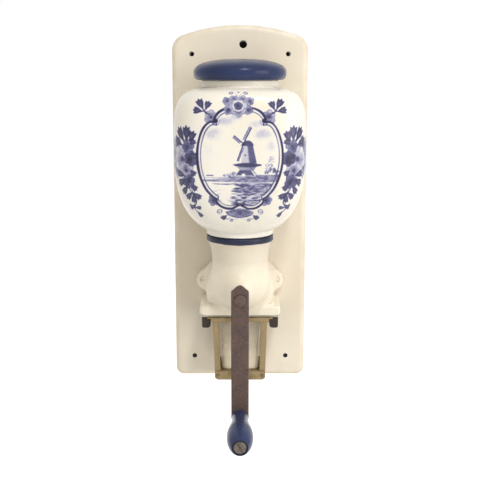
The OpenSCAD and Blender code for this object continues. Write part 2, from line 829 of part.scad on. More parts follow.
module burr_pin() {
    pin_len = feed_r0 + feed_r1 - 1;
    color("silver") translate([-pin_len / 2, -pin_d, shaft_z])
        rotate([0, 90, 0])
            cylinder(r = pin_r, h = pin_len);
}

// Burr spring: one wire that winds round the shaft between the cone burr and the front bush
module burr_spring() {
    sides = 6;
    steps = spring_turns * 12;
    d0 = feed_front_d + spring_wire / 2 + slide_gap / 2;
    d1 = spring_seat_d - spring_wire / 2 - slide_gap / 2;
    lead = atan((d1 - d0) / (spring_turns * 2 * PI * spring_r));
    rings = [for (i = [0 : steps])
        let (a = 360 * spring_turns * i / steps, d = d0 + (d1 - d0) * i / steps)
        [for (k = [0 : sides - 1])
            let (t = 360 * k / sides, u = spring_wire / 2 * cos(t), v = spring_wire / 2 * sin(t))
            let (r = spring_r + u, back = v * sin(lead))
            [r * cos(a) + back * sin(a), -d - v * cos(lead), shaft_z + r * sin(a) - back * cos(a)]]];
    color("silver")
        loft(rings);
}

module thrust_washer() {
    color("silver")
        tube(shaft_r + 0.15, nut_flats / 2, hub_d + face_gap, hub_d + face_gap + washer_t, shaft_z);
}

module adjusting_nut() {
    d0 = hub_d + washer_t + 2 * face_gap;
    color("dimgray") difference() {
        translate([0, -d0, shaft_z])
            rotate([90, 0, 0])
                cylinder(r = nut_flats / 2 / cos(30), h = nut_h, $fn = 6);
        rod(shaft_r + run_gap, d0 - over, d0 + nut_h + over, shaft_z);
    }
}

// Crank arm: flat bar with a pointed top and a round lower end
module crank_arm() {
    half = arm_w / 2;
    tip_r = 4;
    slope = 40;
    tip_z = shaft_z + arm_tip - tip_r;
    shoulder = tip_z + tip_r * sin(90 - slope) - (half - tip_r * cos(90 - slope)) * tan(slope);
    color("rosybrown") difference() {
        slab(arm_back_d, arm_front_d)
            polygon(concat([[half, shoulder]], arc([0, tip_z], tip_r, 90 - slope, 90 + slope, 6),
                [[-half, shoulder]], arc([0, knob_z], half, 180, 360, 24)));
        slab(arm_back_d - over, arm_front_d + over)
            translate([0, shaft_z])
                square(square_w + 2 * seat_gap, center = true);
        rod(pin_neck_r + seat_gap, arm_back_d - over, arm_front_d + over, knob_z);
    }
}

module crank_nut() {
    r = dome_d / 2;
    color("sienna") difference() {
        turned(shaft_z)
            polygon(concat([[0, arm_front_d], [r, arm_front_d]],
                [for (a = [0 : 15 : 90])
                    [r * cos(a), arm_front_d + 1.4 + (dome_h - 1.4) * sin(a)]]));
        rod(stud_r + seat_gap, arm_front_d - over, arm_front_d + stud_len + 0.1, shaft_z);
    }
}

// Knob screw: riveted behind the arm, with a slotted head sunk in the end of the knob
module knob_screw() {
    seat_d = knob_tip_d - knob_sink + face_gap;
    head_r = knob_head_d / 2;
    color("gray") difference() {
        union() {
            turned(knob_z)
                polygon([[0, arm_back_d - pin_rivet_h], [pin_rivet_r - 1.2, arm_back_d - pin_rivet_h],
                         [pin_rivet_r, arm_back_d - 0.4], [pin_rivet_r, arm_back_d], [0, arm_back_d]]);
            rod(pin_neck_r, arm_back_d - 0.4, arm_front_d + 0.5, knob_z);
            rod(knob_pin_r, arm_front_d, seat_d + 0.5, knob_z);
            turned(knob_z)
                polygon(concat([[0, seat_d], [head_r, seat_d]],
                    [for (a = [0 : 15 : 90])
                        [head_r - 1.4 * (1 - cos(a)), seat_d + knob_head_h - 1 + sin(a)]],
                    [[0, seat_d + knob_head_h]]));
        }
        translate([0, -seat_d - knob_head_h, knob_z])
            rotate([0, 62, 0])
                cube([3 * head_r, 2, 1.4], center = true);
    }
}

module knob_washer() {
    color("silver")
        tube(knob_pin_r + seat_gap, knob_neck_r - 0.6, arm_front_d, arm_front_d + knob_washer_t, knob_z);
}

// Knob: a neck that swells to the belly and rounds in to a flat end
module crank_knob() {
    at = knob_belly_at;
    steps = 12;
    radius = function (t) t <= at
        ? knob_neck_r + (knob_belly_r - knob_neck_r) * (1 - cos(180 * pow(t / at, 1.4))) / 2
        : knob_end_r + (knob_belly_r - knob_end_r) * pow(max(0, 1 - pow((t - at) / (1 - at), 2.6)), 0.9);
    color("slateblue") difference() {
        turned(knob_z)
            polygon(concat([[0, knob_base_d]],
                [for (i = [0 : steps]) [radius(at * i / steps), knob_base_d + knob_len * at * i / steps]],
                [for (i = [1 : steps])
                    let (t = at + (1 - at) * sin(90 * i / steps))
                    [radius(t), knob_base_d + knob_len * t]],
                [[0, knob_tip_d]]));
        rod(knob_pin_r + run_gap, knob_base_d - over, knob_tip_d + over, knob_z);
        rod(knob_head_d / 2 + 0.9, knob_tip_d - knob_sink, knob_tip_d + over, knob_z);
    }
}

module base_plate() {
    open_half = chute_half_w + 3;
    color("dimgray") difference() {
        translate([-rail_outer, -rail_front_d, rail_top_z])
            cube([rails_w, rail_front_d - rail_rear_d, base_t]);
        translate([-open_half, -chute_d1 - 3, rail_top_z - over])
            cube([2 * open_half, chute_d1 - chute_d0 + 3, base_t + 2 * over]);
        for (x = [-rail_screw_x, rail_screw_x], d = rail_screw_d)
            translate([x, -d, rail_top_z - over])
                cylinder(r = small_screw_r + seat_gap, h = base_t + 2 * over);
    }
}

// Rail: a hook section with a ledge that carries the top plate of the holder
module cup_rail(side) {
    difference() {
        slab(rail_rear_d, rail_front_d)
            polygon([for (p = concat(
                    [[rail_outer, rail_top_z]],
                    arc([rail_outer - rail_round, rail_bottom_z + rail_round], rail_round, 0, -90, 6),
                    arc([rail_ledge_x + rail_tip, rail_bottom_z + rail_tip], rail_tip, -90, -180, 6),
                    [[rail_ledge_x, rail_ledge_z], [rail_web_x, rail_ledge_z], [rail_web_x, rail_top_z]]))
                [side * p[0], p[1]]]);
        for (d = rail_screw_d)
            translate([side * rail_screw_x, -d, rail_bottom_z]) {
                translate([0, 0, -over])
                    cylinder(r = small_screw_r + seat_gap, h = rail_h + 2 * over);
                translate([0, 0, -over])
                    cylinder(r = rail_head_r + 0.2, h = rail_head_h + over);
            }
    }
}

module cup_rail_left() {
    color("darkslategray")
        cup_rail(-1);
}

module cup_rail_right() {
    color("darkslategray")
        cup_rail(1);
}

module rail_screws() {
    color("gray")
        for (x = [-rail_screw_x, rail_screw_x], d = rail_screw_d)
            translate([x, -d, rail_bottom_z]) {
                translate([0, 0, 0.2])
                    cylinder(r = rail_head_r, h = rail_head_h - 0.2);
                translate([0, 0, 1])
                    cylinder(r = small_screw_r, h = rail_screw_h - 1);
            }
}

// Top plate of the holder: slides on the ledges, open over the glass, with a turned down lip
module holder_plate() {
    color("goldenrod") difference() {
        union() {
            translate([-plate_half_w, -holder_front_d, plate_z])
                cube([2 * plate_half_w, holder_front_d - holder_rear_d, sheet_t]);
            translate([-lip_half_w, -tray_front_d, plate_z + sheet_t - plate_lip_h])
                cube([2 * lip_half_w, sheet_t, plate_lip_h]);
        }
        translate([0, -cup_d, plate_z - over])
            linear_extrude(sheet_t + 2 * over)
                square(2 * mouth_half, center = true);
        for (x = [-top_rivet_x, top_rivet_x], d = top_rivet_d)
            translate([x, -d, plate_z - over])
                cylinder(r = rivet_r + seat_gap, h = sheet_t + 2 * over);
    }
}

// Window through a side of the holder, with round corners
module side_window(side) {
    corner = 4;
    back = -holder_rear_d - side_border - corner;
    front = -holder_front_d + side_border + corner;
    low = tray_z + side_border + corner;
    high = plate_z - side_border - corner;
    translate([side > 0 ? 0 : -side_top_x - over, 0, 0]) rotate([90, 0, 90])
        linear_extrude(side_top_x + over)
            polygon(concat(arc([back, low], corner, -90, 0, 5), arc([back, high], corner, 0, 90, 5),
                arc([front, high], corner, 90, 180, 5), arc([front, low], corner, 180, 270, 5)));
}

// Side of the holder: a leaning wall with a window, a tab under the top plate and a flange on the front
module holder_side(side) {
    difference() {
        union() {
            slab(holder_rear_d, holder_front_d)
                polygon([[side * side_top_x, plate_z], [side * side_foot_x, tray_z],
                         [side * (side_foot_x - sheet_t), tray_z],
                         [side * (side_top_x - sheet_t), plate_z]]);
            slab(holder_rear_d, holder_front_d - 4)
                polygon([[side * (side_top_x - sheet_t / 2), plate_z],
                         [side * (side_top_x - sheet_t / 2), plate_z - sheet_t],
                         [side * (side_top_x - sheet_t - tab_w), plate_z - sheet_t],
                         [side * (side_top_x - sheet_t - tab_w), plate_z]]);
            slab(holder_front_d - sheet_t, holder_front_d)
                polygon([[side * side_top_x, plate_z], [side * side_foot_x, tray_z],
                         [side * side_foot_x, strap_foot_z],
                         [side * (side_foot_x - strap_w), strap_foot_z],
                         [side * (side_foot_x - strap_w), tray_z],
                         [side * (side_top_x - strap_w), plate_z]]);
        }
        for (d = top_rivet_d)
            translate([side * top_rivet_x, -d, plate_z - 2 * sheet_t])
                cylinder(r = rivet_r + seat_gap, h = 3 * sheet_t);
        rod(rivet_r + seat_gap, holder_front_d - sheet_t - over, holder_front_d + over,
            tray_rivet_z, side * tray_rivet_x);
        side_window(side);
    }
}

module holder_side_left() {
    color("darkgoldenrod")
        holder_side(-1);
}

module holder_side_right() {
    color("darkgoldenrod")
        holder_side(1);
}

// Tray: the floor under the glass, notched round the flanges, with a rounded lip turned down
module holder_tray() {
    corner = 3.4;
    half = side_foot_x;
    color("goldenrod") difference() {
        union() {
            translate([-half, -tray_front_d, tray_z - sheet_t])
                cube([2 * half, tray_front_d - holder_rear_d, sheet_t]);
            slab(holder_front_d, tray_front_d)
                polygon(concat([[-half, tray_z]],
                    arc([-half + corner, tray_z - tray_lip_h + corner], corner, 180, 270, 6),
                    arc([half - corner, tray_z - tray_lip_h + corner], corner, 270, 360, 6),
                    [[half, tray_z]]));
        }
        for (side = [-1, 1]) {
            translate([side > 0 ? half - strap_w - 0.05 : -half - over, -holder_front_d,
                       tray_z - sheet_t - over])
                cube([strap_w + 0.05 + over, sheet_t + 0.05, sheet_t + 2 * over]);
            rod(rivet_r + seat_gap, holder_front_d - over, tray_front_d + over,
                tray_rivet_z, side * tray_rivet_x);
        }
    }
}

// Rivets: two through the tray's lip and four under the top plate
module holder_rivets() {
    color("khaki") {
        for (x = [-tray_rivet_x, tray_rivet_x]) {
            rod(rivet_r, holder_front_d - sheet_t, tray_front_d, tray_rivet_z, x);
            turned(tray_rivet_z, x)
                polygon(concat([[0, tray_front_d], [rivet_head_r, tray_front_d]],
                    [for (a = [30 : 30 : 90])
                        [rivet_head_r * cos(a), tray_front_d + rivet_head_h * sin(a)]]));
            rod(rivet_head_r, holder_front_d - sheet_t - rivet_back_h, holder_front_d - sheet_t,
                tray_rivet_z, x);
        }
        for (x = [-top_rivet_x, top_rivet_x], d = top_rivet_d)
            translate([x, -d, plate_z - sheet_t - rivet_back_h]) {
                cylinder(r = rivet_back_r, h = rivet_back_h);
                cylinder(r = rivet_r, h = 2 * sheet_t + rivet_back_h);
            }
    }
}

// Glass cup: a tapered rounded square with a thick floor, a bead at its mouth and a soft foot
module glass_cup() {
    square_n = 6;
    foot_half = cup_foot_w / 2;
    foot_r = 2;
    h = cup_top_z - tray_z;
    bead = 3;
    wall_at = function (u) foot_half + (cup_half - 1 - foot_half) * u;
    outer = [[foot_half - foot_r, 0], [foot_half - 0.6, 0.6], [wall_at(foot_r / h), foot_r],
             [wall_at(0.5), h / 2], [cup_half - 1, h - bead - 1], [cup_half, h - bead], [cup_half, h - 0.8],
             [cup_half - 0.8, h]];
    inner = [[mouth_half + 0.8, h], [mouth_half, h - 0.8], [wall_at(0.5) - cup_wall, h / 2],
             [wall_at((cup_floor + 3) / h) - cup_wall, cup_floor + 3],
             [wall_at(0) - cup_wall - 2.4, cup_floor]];
    floor_in = [[2, cup_floor]];
    floor_out = [[2, 0]];
    color("lightcyan") union() {
        vessel([for (p = concat(outer, inner, floor_in, floor_out))
            square_ring(p[0], p[0], square_n, tray_z + p[1], cup_d, cup_half)]);
        translate([0, -cup_d, tray_z])
            linear_extrude(cup_floor)
                square(4, center = true);
    }
}

back_board();
hopper_jar();
jar_felt_ring();
jar_screw();
jar_washer();
lid();
mill_casting();
casting_screws();
front_bush();
rear_plate();
rear_plate_screws();
rear_bush();
ring_burr();
ring_burr_screws();
drive_shaft();
cone_burr();
burr_pin();
burr_spring();
thrust_washer();
adjusting_nut();
crank_arm();
crank_nut();
knob_screw();
knob_washer();
crank_knob();
base_plate();
cup_rail_left();
cup_rail_right();
rail_screws();
holder_plate();
holder_side_left();
holder_side_right();
holder_tray();
holder_rivets();
glass_cup();
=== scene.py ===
"""Wall mounted coffee mill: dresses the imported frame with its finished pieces.

Sizes are in millimetres along three directions: x to the right, d the depth from the wall towards
the viewer, and z up. A point (x, d, z) stands at (x, -d, z) / 1000 in the scene.
"""

from __future__ import annotations

import logging
import math
from collections.abc import Iterator, Sequence
from contextlib import contextmanager
from dataclasses import dataclass, field
from enum import Enum

import bmesh
import bpy
import numpy as np
from bpy.types import Material, Mesh, NodeSocket, NodeTree, Object
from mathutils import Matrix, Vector
from mathutils.geometry import delaunay_2d_cdt


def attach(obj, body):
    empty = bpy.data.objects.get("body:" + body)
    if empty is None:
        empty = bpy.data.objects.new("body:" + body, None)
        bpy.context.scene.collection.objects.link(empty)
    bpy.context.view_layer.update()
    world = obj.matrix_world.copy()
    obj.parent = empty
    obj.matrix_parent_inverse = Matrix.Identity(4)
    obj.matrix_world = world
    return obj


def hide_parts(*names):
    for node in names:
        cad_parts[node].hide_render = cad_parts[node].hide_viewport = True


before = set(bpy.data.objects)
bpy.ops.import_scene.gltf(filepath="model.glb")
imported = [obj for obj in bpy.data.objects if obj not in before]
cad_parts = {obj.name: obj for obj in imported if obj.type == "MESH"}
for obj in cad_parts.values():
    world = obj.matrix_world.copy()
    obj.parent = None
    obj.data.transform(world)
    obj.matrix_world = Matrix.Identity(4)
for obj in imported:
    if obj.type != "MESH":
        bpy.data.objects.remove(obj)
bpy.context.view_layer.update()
LOG = logging.getLogger("coffee_mill")
MM = 0.001
MERGE = 1e-6
MERGE_NODE = 2e-6
EASED_ANGLE = 32.0
FLIP = np.array([1.0, -1.0, 1.0])
SHAFT_Z = -63.0
KNOB_Z = -171.0
FRONT_D = 18.0
THROAT_D = 66.0
Colour = tuple[float, float, float, float]
Triple = tuple[float, float, float]
Line = Sequence[tuple[float, float]]
Window = tuple[slice, slice]
Feed = NodeSocket | float | Triple | Colour
WHITE: Colour = (1.0, 1.0, 1.0, 1.0)


def srgb(red: float, green: float, blue: float) -> Colour:
    """Turns an eight bit screen colour into the linear colour that shaders take."""
    part = np.array([red, green, blue]) / 255.0
    linear = np.where(part <= 0.04045, part / 12.92, ((part + 0.055) / 1.055) ** 2.4)
    return (float(linear[0]), float(linear[1]), float(linear[2]), 1.0)


class Axis(Enum):
    """The direction that a turned piece is turned about."""

    DEPTH = "depth"
    UP = "up"


class Lay(Enum):
    """How a brush meets the ink that is already on the sheet."""

    OVER = "over"
    LIFT = "lift"


@dataclass
class Skin:
    """A surface before it is a mesh: points in millimetres, faces, and marks for each point."""

    points: np.ndarray
    faces: list[list[int]]
    marks: dict[str, np.ndarray] = field(default_factory=dict)

    @staticmethod
    def join(skins: Sequence["Skin"]) -> "Skin":
        """Puts several skins into one.

        Args:
            skins: the skins, each with its own marks.

        Returns:
            One skin; a mark that a skin lacks is 0 there.
        """
        starts = np.cumsum([0] + [len(s.points) for s in skins])
        faces = [[i + int(start) for i in f] for s, start in zip(skins, starts) for f in s.faces]
        names = {name for s in skins for name in s.marks}
        marks = {name: np.concatenate([s.marks.get(name, np.zeros(len(s.points))) for s in skins])
                 for name in names}
        return Skin(np.vstack([s.points for s in skins]), faces, marks)


def grid_skin(points: np.ndarray, closed: bool = False, marks: dict[str, np.ndarray] | None = None) -> Skin:
    """Joins a grid of points with four sided faces; the last column joins the first.

    Args:
        points: rows by columns by 3.
        closed: whether the last row joins the first.
        marks: values for each point of the grid.

    Returns:
        The skin over the grid.
    """
    index = np.arange(points.shape[0] * points.shape[1]).reshape(points.shape[:2])
    low, high = (index, np.roll(index, -1, axis=0)) if closed else (index[:-1], index[1:])
    faces = np.stack([low, np.roll(low, -1, 1), np.roll(high, -1, 1), high], axis=-1)
    flat = {name: values.reshape(-1) for name, values in (marks or {}).items()}
    return Skin(points.reshape(-1, 3), faces.reshape(-1, 4).tolist(), flat)


def rounded(points: Line, radius: float | Sequence[float], steps: int = 6,
            closed: bool = True) -> np.ndarray:
    """Rounds the corners of a line; each corner becomes a parabola between its two tangent points.

    Args:
        points: the corners.
        radius: how far along each side the rounding starts, for all corners or one by one.
        steps: how many points each rounding has.
        closed: whether the last corner joins the first; the ends of an open line stay sharp.

    Returns:
        The rounded line.
    """
    corner = np.asarray(points, float)
    before, after = np.roll(corner, 1, axis=0) - corner, np.roll(corner, -1, axis=0) - corner
    reach = np.broadcast_to(np.asarray(radius, float), len(corner)).copy()
    if not closed:
        reach[[0, -1]] = 0.0
    sides = [np.linalg.norm(v, axis=1).clip(1e-9) for v in (before, after)]
    reach = np.minimum(reach, 0.49 * np.minimum(*sides))[:, None]
    start, end = (corner + v / s[:, None] * reach for v, s in zip((before, after), sides))
    u = np.linspace(0.0, 1.0, steps)[None, :, None]
    bend = (1 - u) ** 2 * start[:, None] + 2 * u * (1 - u) * corner[:, None] + u ** 2 * end[:, None]
    line = bend.reshape(-1, 2)
    keep = np.ones(len(line), bool)
    keep[1:] = np.linalg.norm(np.diff(line, axis=0), axis=1) > 1e-6
    return line[keep]


def circle(x: float, y: float, radius: float, sides: int = 48) -> np.ndarray:
    """Gives the points of a circle, against the clock."""
    angle = np.arange(sides) * 2 * math.pi / sides
    return np.stack([x + radius * np.cos(angle), y + radius * np.sin(angle)], axis=1)


def arc(x: float, y: float, radius: float, start: float, end: float, steps: int) -> np.ndarray:
    """Gives the points of an arc between two angles in degrees."""
    angle = np.radians(np.linspace(start, end, steps))
    return np.stack([x + radius * np.cos(angle), y + radius * np.sin(angle)], axis=1)


def turned(profile: np.ndarray, centre: tuple[float, float], axis: Axis, sides: int = 96,
           closed: bool = False) -> Skin:
    """Turns a profile of radius and height about an axis.

    Args:
        profile: radius and height of each ring; a radius of 0 closes an end.
        centre: x and depth of an upright axis, or x and height of a level one.
        axis: the direction of the axis.
        sides: points in each ring.
        closed: whether the last ring joins the first, as on a piece with a bore.

    Returns:
        The turned skin.
    """
    angle = np.arange(sides) * 2 * math.pi / sides
    across = centre[0] + profile[:, :1] * np.cos(angle)
    other = centre[1] + profile[:, :1] * np.sin(angle)
    along = np.broadcast_to(profile[:, 1:2], across.shape)
    parts = [across, other, along] if axis is Axis.UP else [across, along, other]
    return grid_skin(np.stack(parts, axis=-1), closed=closed)


def inset(outline: np.ndarray, amount: float) -> np.ndarray:
    """Draws a closed outline in by an amount, along the mean normal of the sides at each point."""
    side = np.roll(outline, -1, axis=0) - outline
    side /= np.linalg.norm(side, axis=1, keepdims=True).clip(1e-9)
    normal = np.stack([-side[:, 1], side[:, 0]], axis=1)
    mean = normal + np.roll(normal, 1, axis=0)
    share = (mean * normal).sum(axis=1, keepdims=True).clip(0.4)
    return outline + amount * mean / share


def inside(points: np.ndarray, loops: Sequence[np.ndarray]) -> np.ndarray:
    """Tells which points lie inside closed loops, by counting the sides to their right."""
    hits = np.zeros(len(points), int)
    for loop in loops:
        a, b = loop[None], np.roll(loop, -1, axis=0)[None]
        x, y = points[:, :1], points[:, 1:]
        spans = (a[..., 1] > y) != (b[..., 1] > y)
        rise = np.where(b[..., 1] == a[..., 1], 1e-12, b[..., 1] - a[..., 1])
        cross = a[..., 0] + (y - a[..., 1]) * (b[..., 0] - a[..., 0]) / rise
        hits += (spans & (x < cross)).sum(axis=1)
    return hits % 2 == 1


def stand(flat: np.ndarray, depth: float) -> np.ndarray:
    """Stands flat points of x and z up at a depth."""
    return np.insert(flat, 1, depth, axis=1)


@dataclass(frozen=True)
class Hole:
    """A hole through a plate: its loop, against the clock, and how far its rims are rounded."""

    loop: np.ndarray
    rim: float


def plate(outline: np.ndarray, low: float, high: float, edges: tuple[float, float],
          holes: Sequence[Hole] = ()) -> Skin:
    """Gives an outline its thickness, with quarter round edges and rounded holes.

    The wall is a row of copies of the outline. Over an edge of radius e the copy at angle a is
    drawn in by e (1 - cos a) and stands e (1 - sin a) short of the face.

    Args:
        outline: closed outline, against the clock.
        low: depth of the rear face.
        high: depth of the front face.
        edges: rounding of the rear and the front edge.
        holes: holes through the plate.

    Returns:
        The closed skin, with a mark "edge" that is 1 on the roundings.
    """
    angle = np.radians(np.linspace(0, 90, 7))
    land = 0.6
    skins: list[Skin] = []
    faces_at: dict[float, list[np.ndarray]] = {low: [], high: []}
    for loop, sizes, sign in [(outline, edges, 1.0)] + [(h.loop, (h.rim, h.rim), -1.0) for h in holes]:
        rows, marks = [], []
        for face, size, turn in ((low, sizes[0], 1.0), (high, sizes[1], -1.0)):
            steps = [(size * (1 - math.cos(a)), face + turn * size * (1 - math.sin(a)), math.sin(2 * a))
                     for a in angle]
            steps.append((size + land, face, 0.0))
            steps = steps[::-1] if turn > 0 else steps
            rows += [stand(inset(loop, sign * amount), at) for amount, at, _ in steps]
            marks += [np.full(len(loop), mark) for _, _, mark in steps]
            faces_at[face].append(inset(loop, sign * (size + land)))
        skins.append(grid_skin(np.stack(rows), marks={"edge": np.stack(marks)}))
    for face, loops in faces_at.items():
        coords = [Vector((float(p[0]), float(p[1]))) for loop in loops for p in loop]
        starts = np.cumsum([0] + [len(loop) for loop in loops])
        sides = [(int(s) + i, int(s) + (i + 1) % len(loop)) for s, loop in zip(starts, loops)
                 for i in range(len(loop))]
        found = delaunay_2d_cdt(coords, sides, [], 0, 1e-6)
        flat = np.array([tuple(v) for v in found[0]])
        triangles = np.array(found[2])
        kept = triangles[inside(flat[triangles].mean(axis=1), loops)]
        skins.append(Skin(stand(flat, face), kept.tolist(), {"edge": np.zeros(len(flat))}))
    return Skin.join(skins)


@contextmanager
def editing(mesh: Mesh) -> Iterator[bmesh.types.BMesh]:
    """Opens a mesh for editing and writes it back."""
    work = bmesh.new()
    work.from_mesh(mesh)
    yield work
    work.to_mesh(mesh)
    work.free()


def smooth(mesh: Mesh, sharp: float) -> None:
    """Smooths a mesh up to a sharp angle in degrees."""
    mesh.polygons.foreach_set("use_smooth", np.ones(len(mesh.polygons), bool))
    mesh.set_sharp_from_angle(angle=math.radians(sharp))
    mesh.update()


def add_mark(mesh: Mesh, name: str, values: np.ndarray) -> None:
    """Writes a value for each point of a mesh, which its finish reads."""
    mark = mesh.attributes.new(name, "FLOAT", "POINT")
    mark.data.foreach_set("value", values.astype(np.float32))


def new_object(name: str, data: bpy.types.ID) -> Object:
    """Makes an object of some data and puts it in the scene."""
    thing = bpy.data.objects.new(name, data)
    bpy.context.scene.collection.objects.link(thing)
    return thing


def node_mesh(node: str, melt: float = 0.0) -> Mesh:
    """Copies a node's mesh, merges its points and melts faces that meet within an angle in degrees."""
    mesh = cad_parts[node].data.copy()
    with editing(mesh) as work:
        bmesh.ops.remove_doubles(work, verts=work.verts, dist=MERGE_NODE)
        if melt:
            bmesh.ops.dissolve_limit(work, angle_limit=math.radians(melt), verts=work.verts, edges=work.edges)
    return mesh


@dataclass(frozen=True)
class Badge:
    """What a piece is: name, finish, the body it rides on, its record slot, the nodes it stands for."""

    name: str
    material: Material
    body: str
    slot: str
    nodes: tuple[str, ...]


def place(mesh: Mesh, badge: Badge) -> Object:
    """Makes an object of a finished mesh in scene metres, dresses it and lets it ride on its body."""
    mesh.name = badge.name
    mesh.materials.clear()
    mesh.materials.append(badge.material)
    piece = new_object(badge.name, mesh)
    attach(piece, badge.body)
    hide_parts(*badge.nodes)
    LOG.info("%s: %d faces on %s", badge.name, len(mesh.polygons), badge.body)
    return piece


def make_piece(badge: Badge, skin: Skin, sharp: float = 50.0) -> None:
    """Makes a piece from a skin: merges it, points its faces outwards and smooths it.

    Args:
        badge: what the piece is.
        skin: its surface, in millimetres.
        sharp: the angle between faces, in degrees, over which an edge stays sharp.
    """
    mesh = bpy.data.meshes.new(badge.name)
    mesh.from_pydata((skin.points * FLIP * MM).tolist(), [], skin.faces)
    for key, values in skin.marks.items():
        add_mark(mesh, key, values)
    with editing(mesh) as work:
        bmesh.ops.remove_doubles(work, verts=work.verts, dist=MERGE)
        bmesh.ops.recalc_face_normals(work, faces=work.faces)
    smooth(mesh, sharp)
    place(mesh, badge)


def eased_copy(badge: Badge, ease: float) -> None:
    """Copies the one node that a badge names and eases its edges with a bevel of a width in millimetres."""
    mesh = node_mesh(badge.nodes[0], 1.0)
    smooth(mesh, EASED_ANGLE)
    bevel = place(mesh, badge).modifiers.new("eased edges", "BEVEL")
    bevel.width = ease * MM
    bevel.segments = 2
    bevel.limit_method = "ANGLE"
    bevel.angle_limit = math.radians(EASED_ANGLE)
    bevel.harden_normals = True


def feed(tree: NodeTree, socket: NodeSocket, value: Feed) -> None:
    """Links a socket to another one, or sets its value."""
    if isinstance(value, NodeSocket):
        tree.links.new(value, socket)
    else:
        socket.default_value = value


def wire(tree: NodeTree, kind: str, feeds: dict[str | int, Feed], out: str | int = 0,
         **settings: str) -> NodeSocket:
    """Adds a shader node, sets or links its inputs, and gives one of its outputs.

    Args:
        tree: the node tree.
        kind: the node's type, without the words in front that all types share.
        feeds: a value or a socket for each input.
        out: the output to give.
        settings: the node's own settings.

    Returns:
        The output.
    """
    node = tree.nodes.new(f"ShaderNode{kind}")
    for key, setting in settings.items():
        setattr(node, key, setting)
    for key, value in feeds.items():
        feed(tree, node.inputs[key], value)
    return node.outputs[out]


class Recipe:
    """Builds one material: a principled shader and the nodes that feed it."""

    def __init__(self, name: str, roughness: float = 0.5, metallic: float = 0.0, shine: float = 0.5) -> None:
        """Starts the material with its constant values.

        Args:
            name: name of the material.
            roughness: roughness where nothing is linked.
            metallic: 1 for bare metal.
            shine: level of the mirror share of paint, glaze or rust.
        """
        self.material = bpy.data.materials.new(name)
        self.material.use_nodes = True
        self.tree = self.material.node_tree
        self.shader = self.tree.nodes["Principled BSDF"]
        for key, value in (("Roughness", roughness), ("Metallic", metallic), ("Specular IOR Level", shine)):
            self.give(key, value)
        self.place = wire(self.tree, "TexCoord", {}, "Object")

    def give(self, key: str, value: Feed) -> None:
        """Sets or links one of the shader's inputs."""
        feed(self.tree, self.shader.inputs[key], value)

    def noise(self, scale: float, detail: float = 3.0, stretch: Triple = (1, 1, 1), shift: float = 0.0,
              rough: float = 0.55) -> NodeSocket:
        """Gives a noise from 0 to 1.

        Args:
            scale: features per metre.
            detail: octaves.
            stretch: factors on the three coordinates; a small one draws the noise out.
            shift: moves the pattern, so that two noises differ.
            rough: share of each finer octave.

        Returns:
            The noise's value.
        """
        at = wire(self.tree, "Mapping", {"Vector": self.place, "Scale": stretch,
                                         "Location": (shift, shift * 0.7, shift * 1.3)})
        feeds = {"Vector": at, "Scale": scale, "Detail": detail, "Roughness": rough}
        return wire(self.tree, "TexNoise", feeds, "Fac")

    def cells(self, scale: float) -> NodeSocket:
        """Gives the distance to the nearest of scattered points, for pits and specks."""
        return wire(self.tree, "TexVoronoi", {"Vector": self.place, "Scale": scale}, "Distance")

    def mark(self, name: str) -> NodeSocket:
        """Reads a mark of the mesh."""
        return wire(self.tree, "Attribute", {}, "Fac", attribute_name=name)

    def span(self, value: NodeSocket, low: float, high: float, start: float = 0.0,
             end: float = 1.0) -> NodeSocket:
        """Maps a value from one span to another and holds it there."""
        feeds = {"Value": value, "From Min": low, "From Max": high, "To Min": start, "To Max": end}
        return wire(self.tree, "MapRange", feeds, "Result")

    def cloud(self, scale: float, detail: float, low: float, high: float, shift: float = 0.0) -> NodeSocket:
        """Gives patches: a noise that rises from 0 to 1 between two of its levels."""
        return self.span(self.noise(scale, detail, shift=shift), low, high)

    def math(self, kind: str, first: Feed, second: Feed) -> NodeSocket:
        """Joins two values by a sum, product or the like."""
        return wire(self.tree, "Math", {0: first, 1: second}, operation=kind)

    def times(self, first: Feed, second: Feed) -> NodeSocket:
        """Multiplies two values."""
        return self.math("MULTIPLY", first, second)

    def part(self, letter: str) -> NodeSocket:
        """Gives one of the object's coordinates, in metres."""
        return wire(self.tree, "SeparateXYZ", {0: self.place}, letter)

    def mix(self, share: Feed, first: Feed, second: Feed) -> NodeSocket:
        """Mixes two colours."""
        return wire(self.tree, "Mix", {0: share, 6: first, 7: second}, 2, data_type="RGBA")

    def bump(self, height: NodeSocket, depth: float) -> None:
        """Adds a relief whose full height is a depth in millimetres."""
        normal = self.shader.inputs["Normal"]
        feeds = {"Height": height, "Distance": depth * MM, "Strength": 1.0}
        if normal.is_linked:
            feeds["Normal"] = normal.links[0].from_socket
        self.give("Normal", wire(self.tree, "Bump", feeds, "Normal"))

    def dress(self, colour: Feed, roughness: NodeSocket | None = None) -> Material:
        """Links colour and roughness and gives the finished material."""
        self.give("Base Color", colour)
        if roughness is not None:
            self.give("Roughness", roughness)
        return self.material


def lit(colour: Colour, factor: float, offset: float = 0.0) -> Colour:
    """Gives a brighter colour, held at white."""
    red, green, blue = (min(1.0, factor * c + offset) for c in colour[:3])
    return (red, green, blue, 1.0)


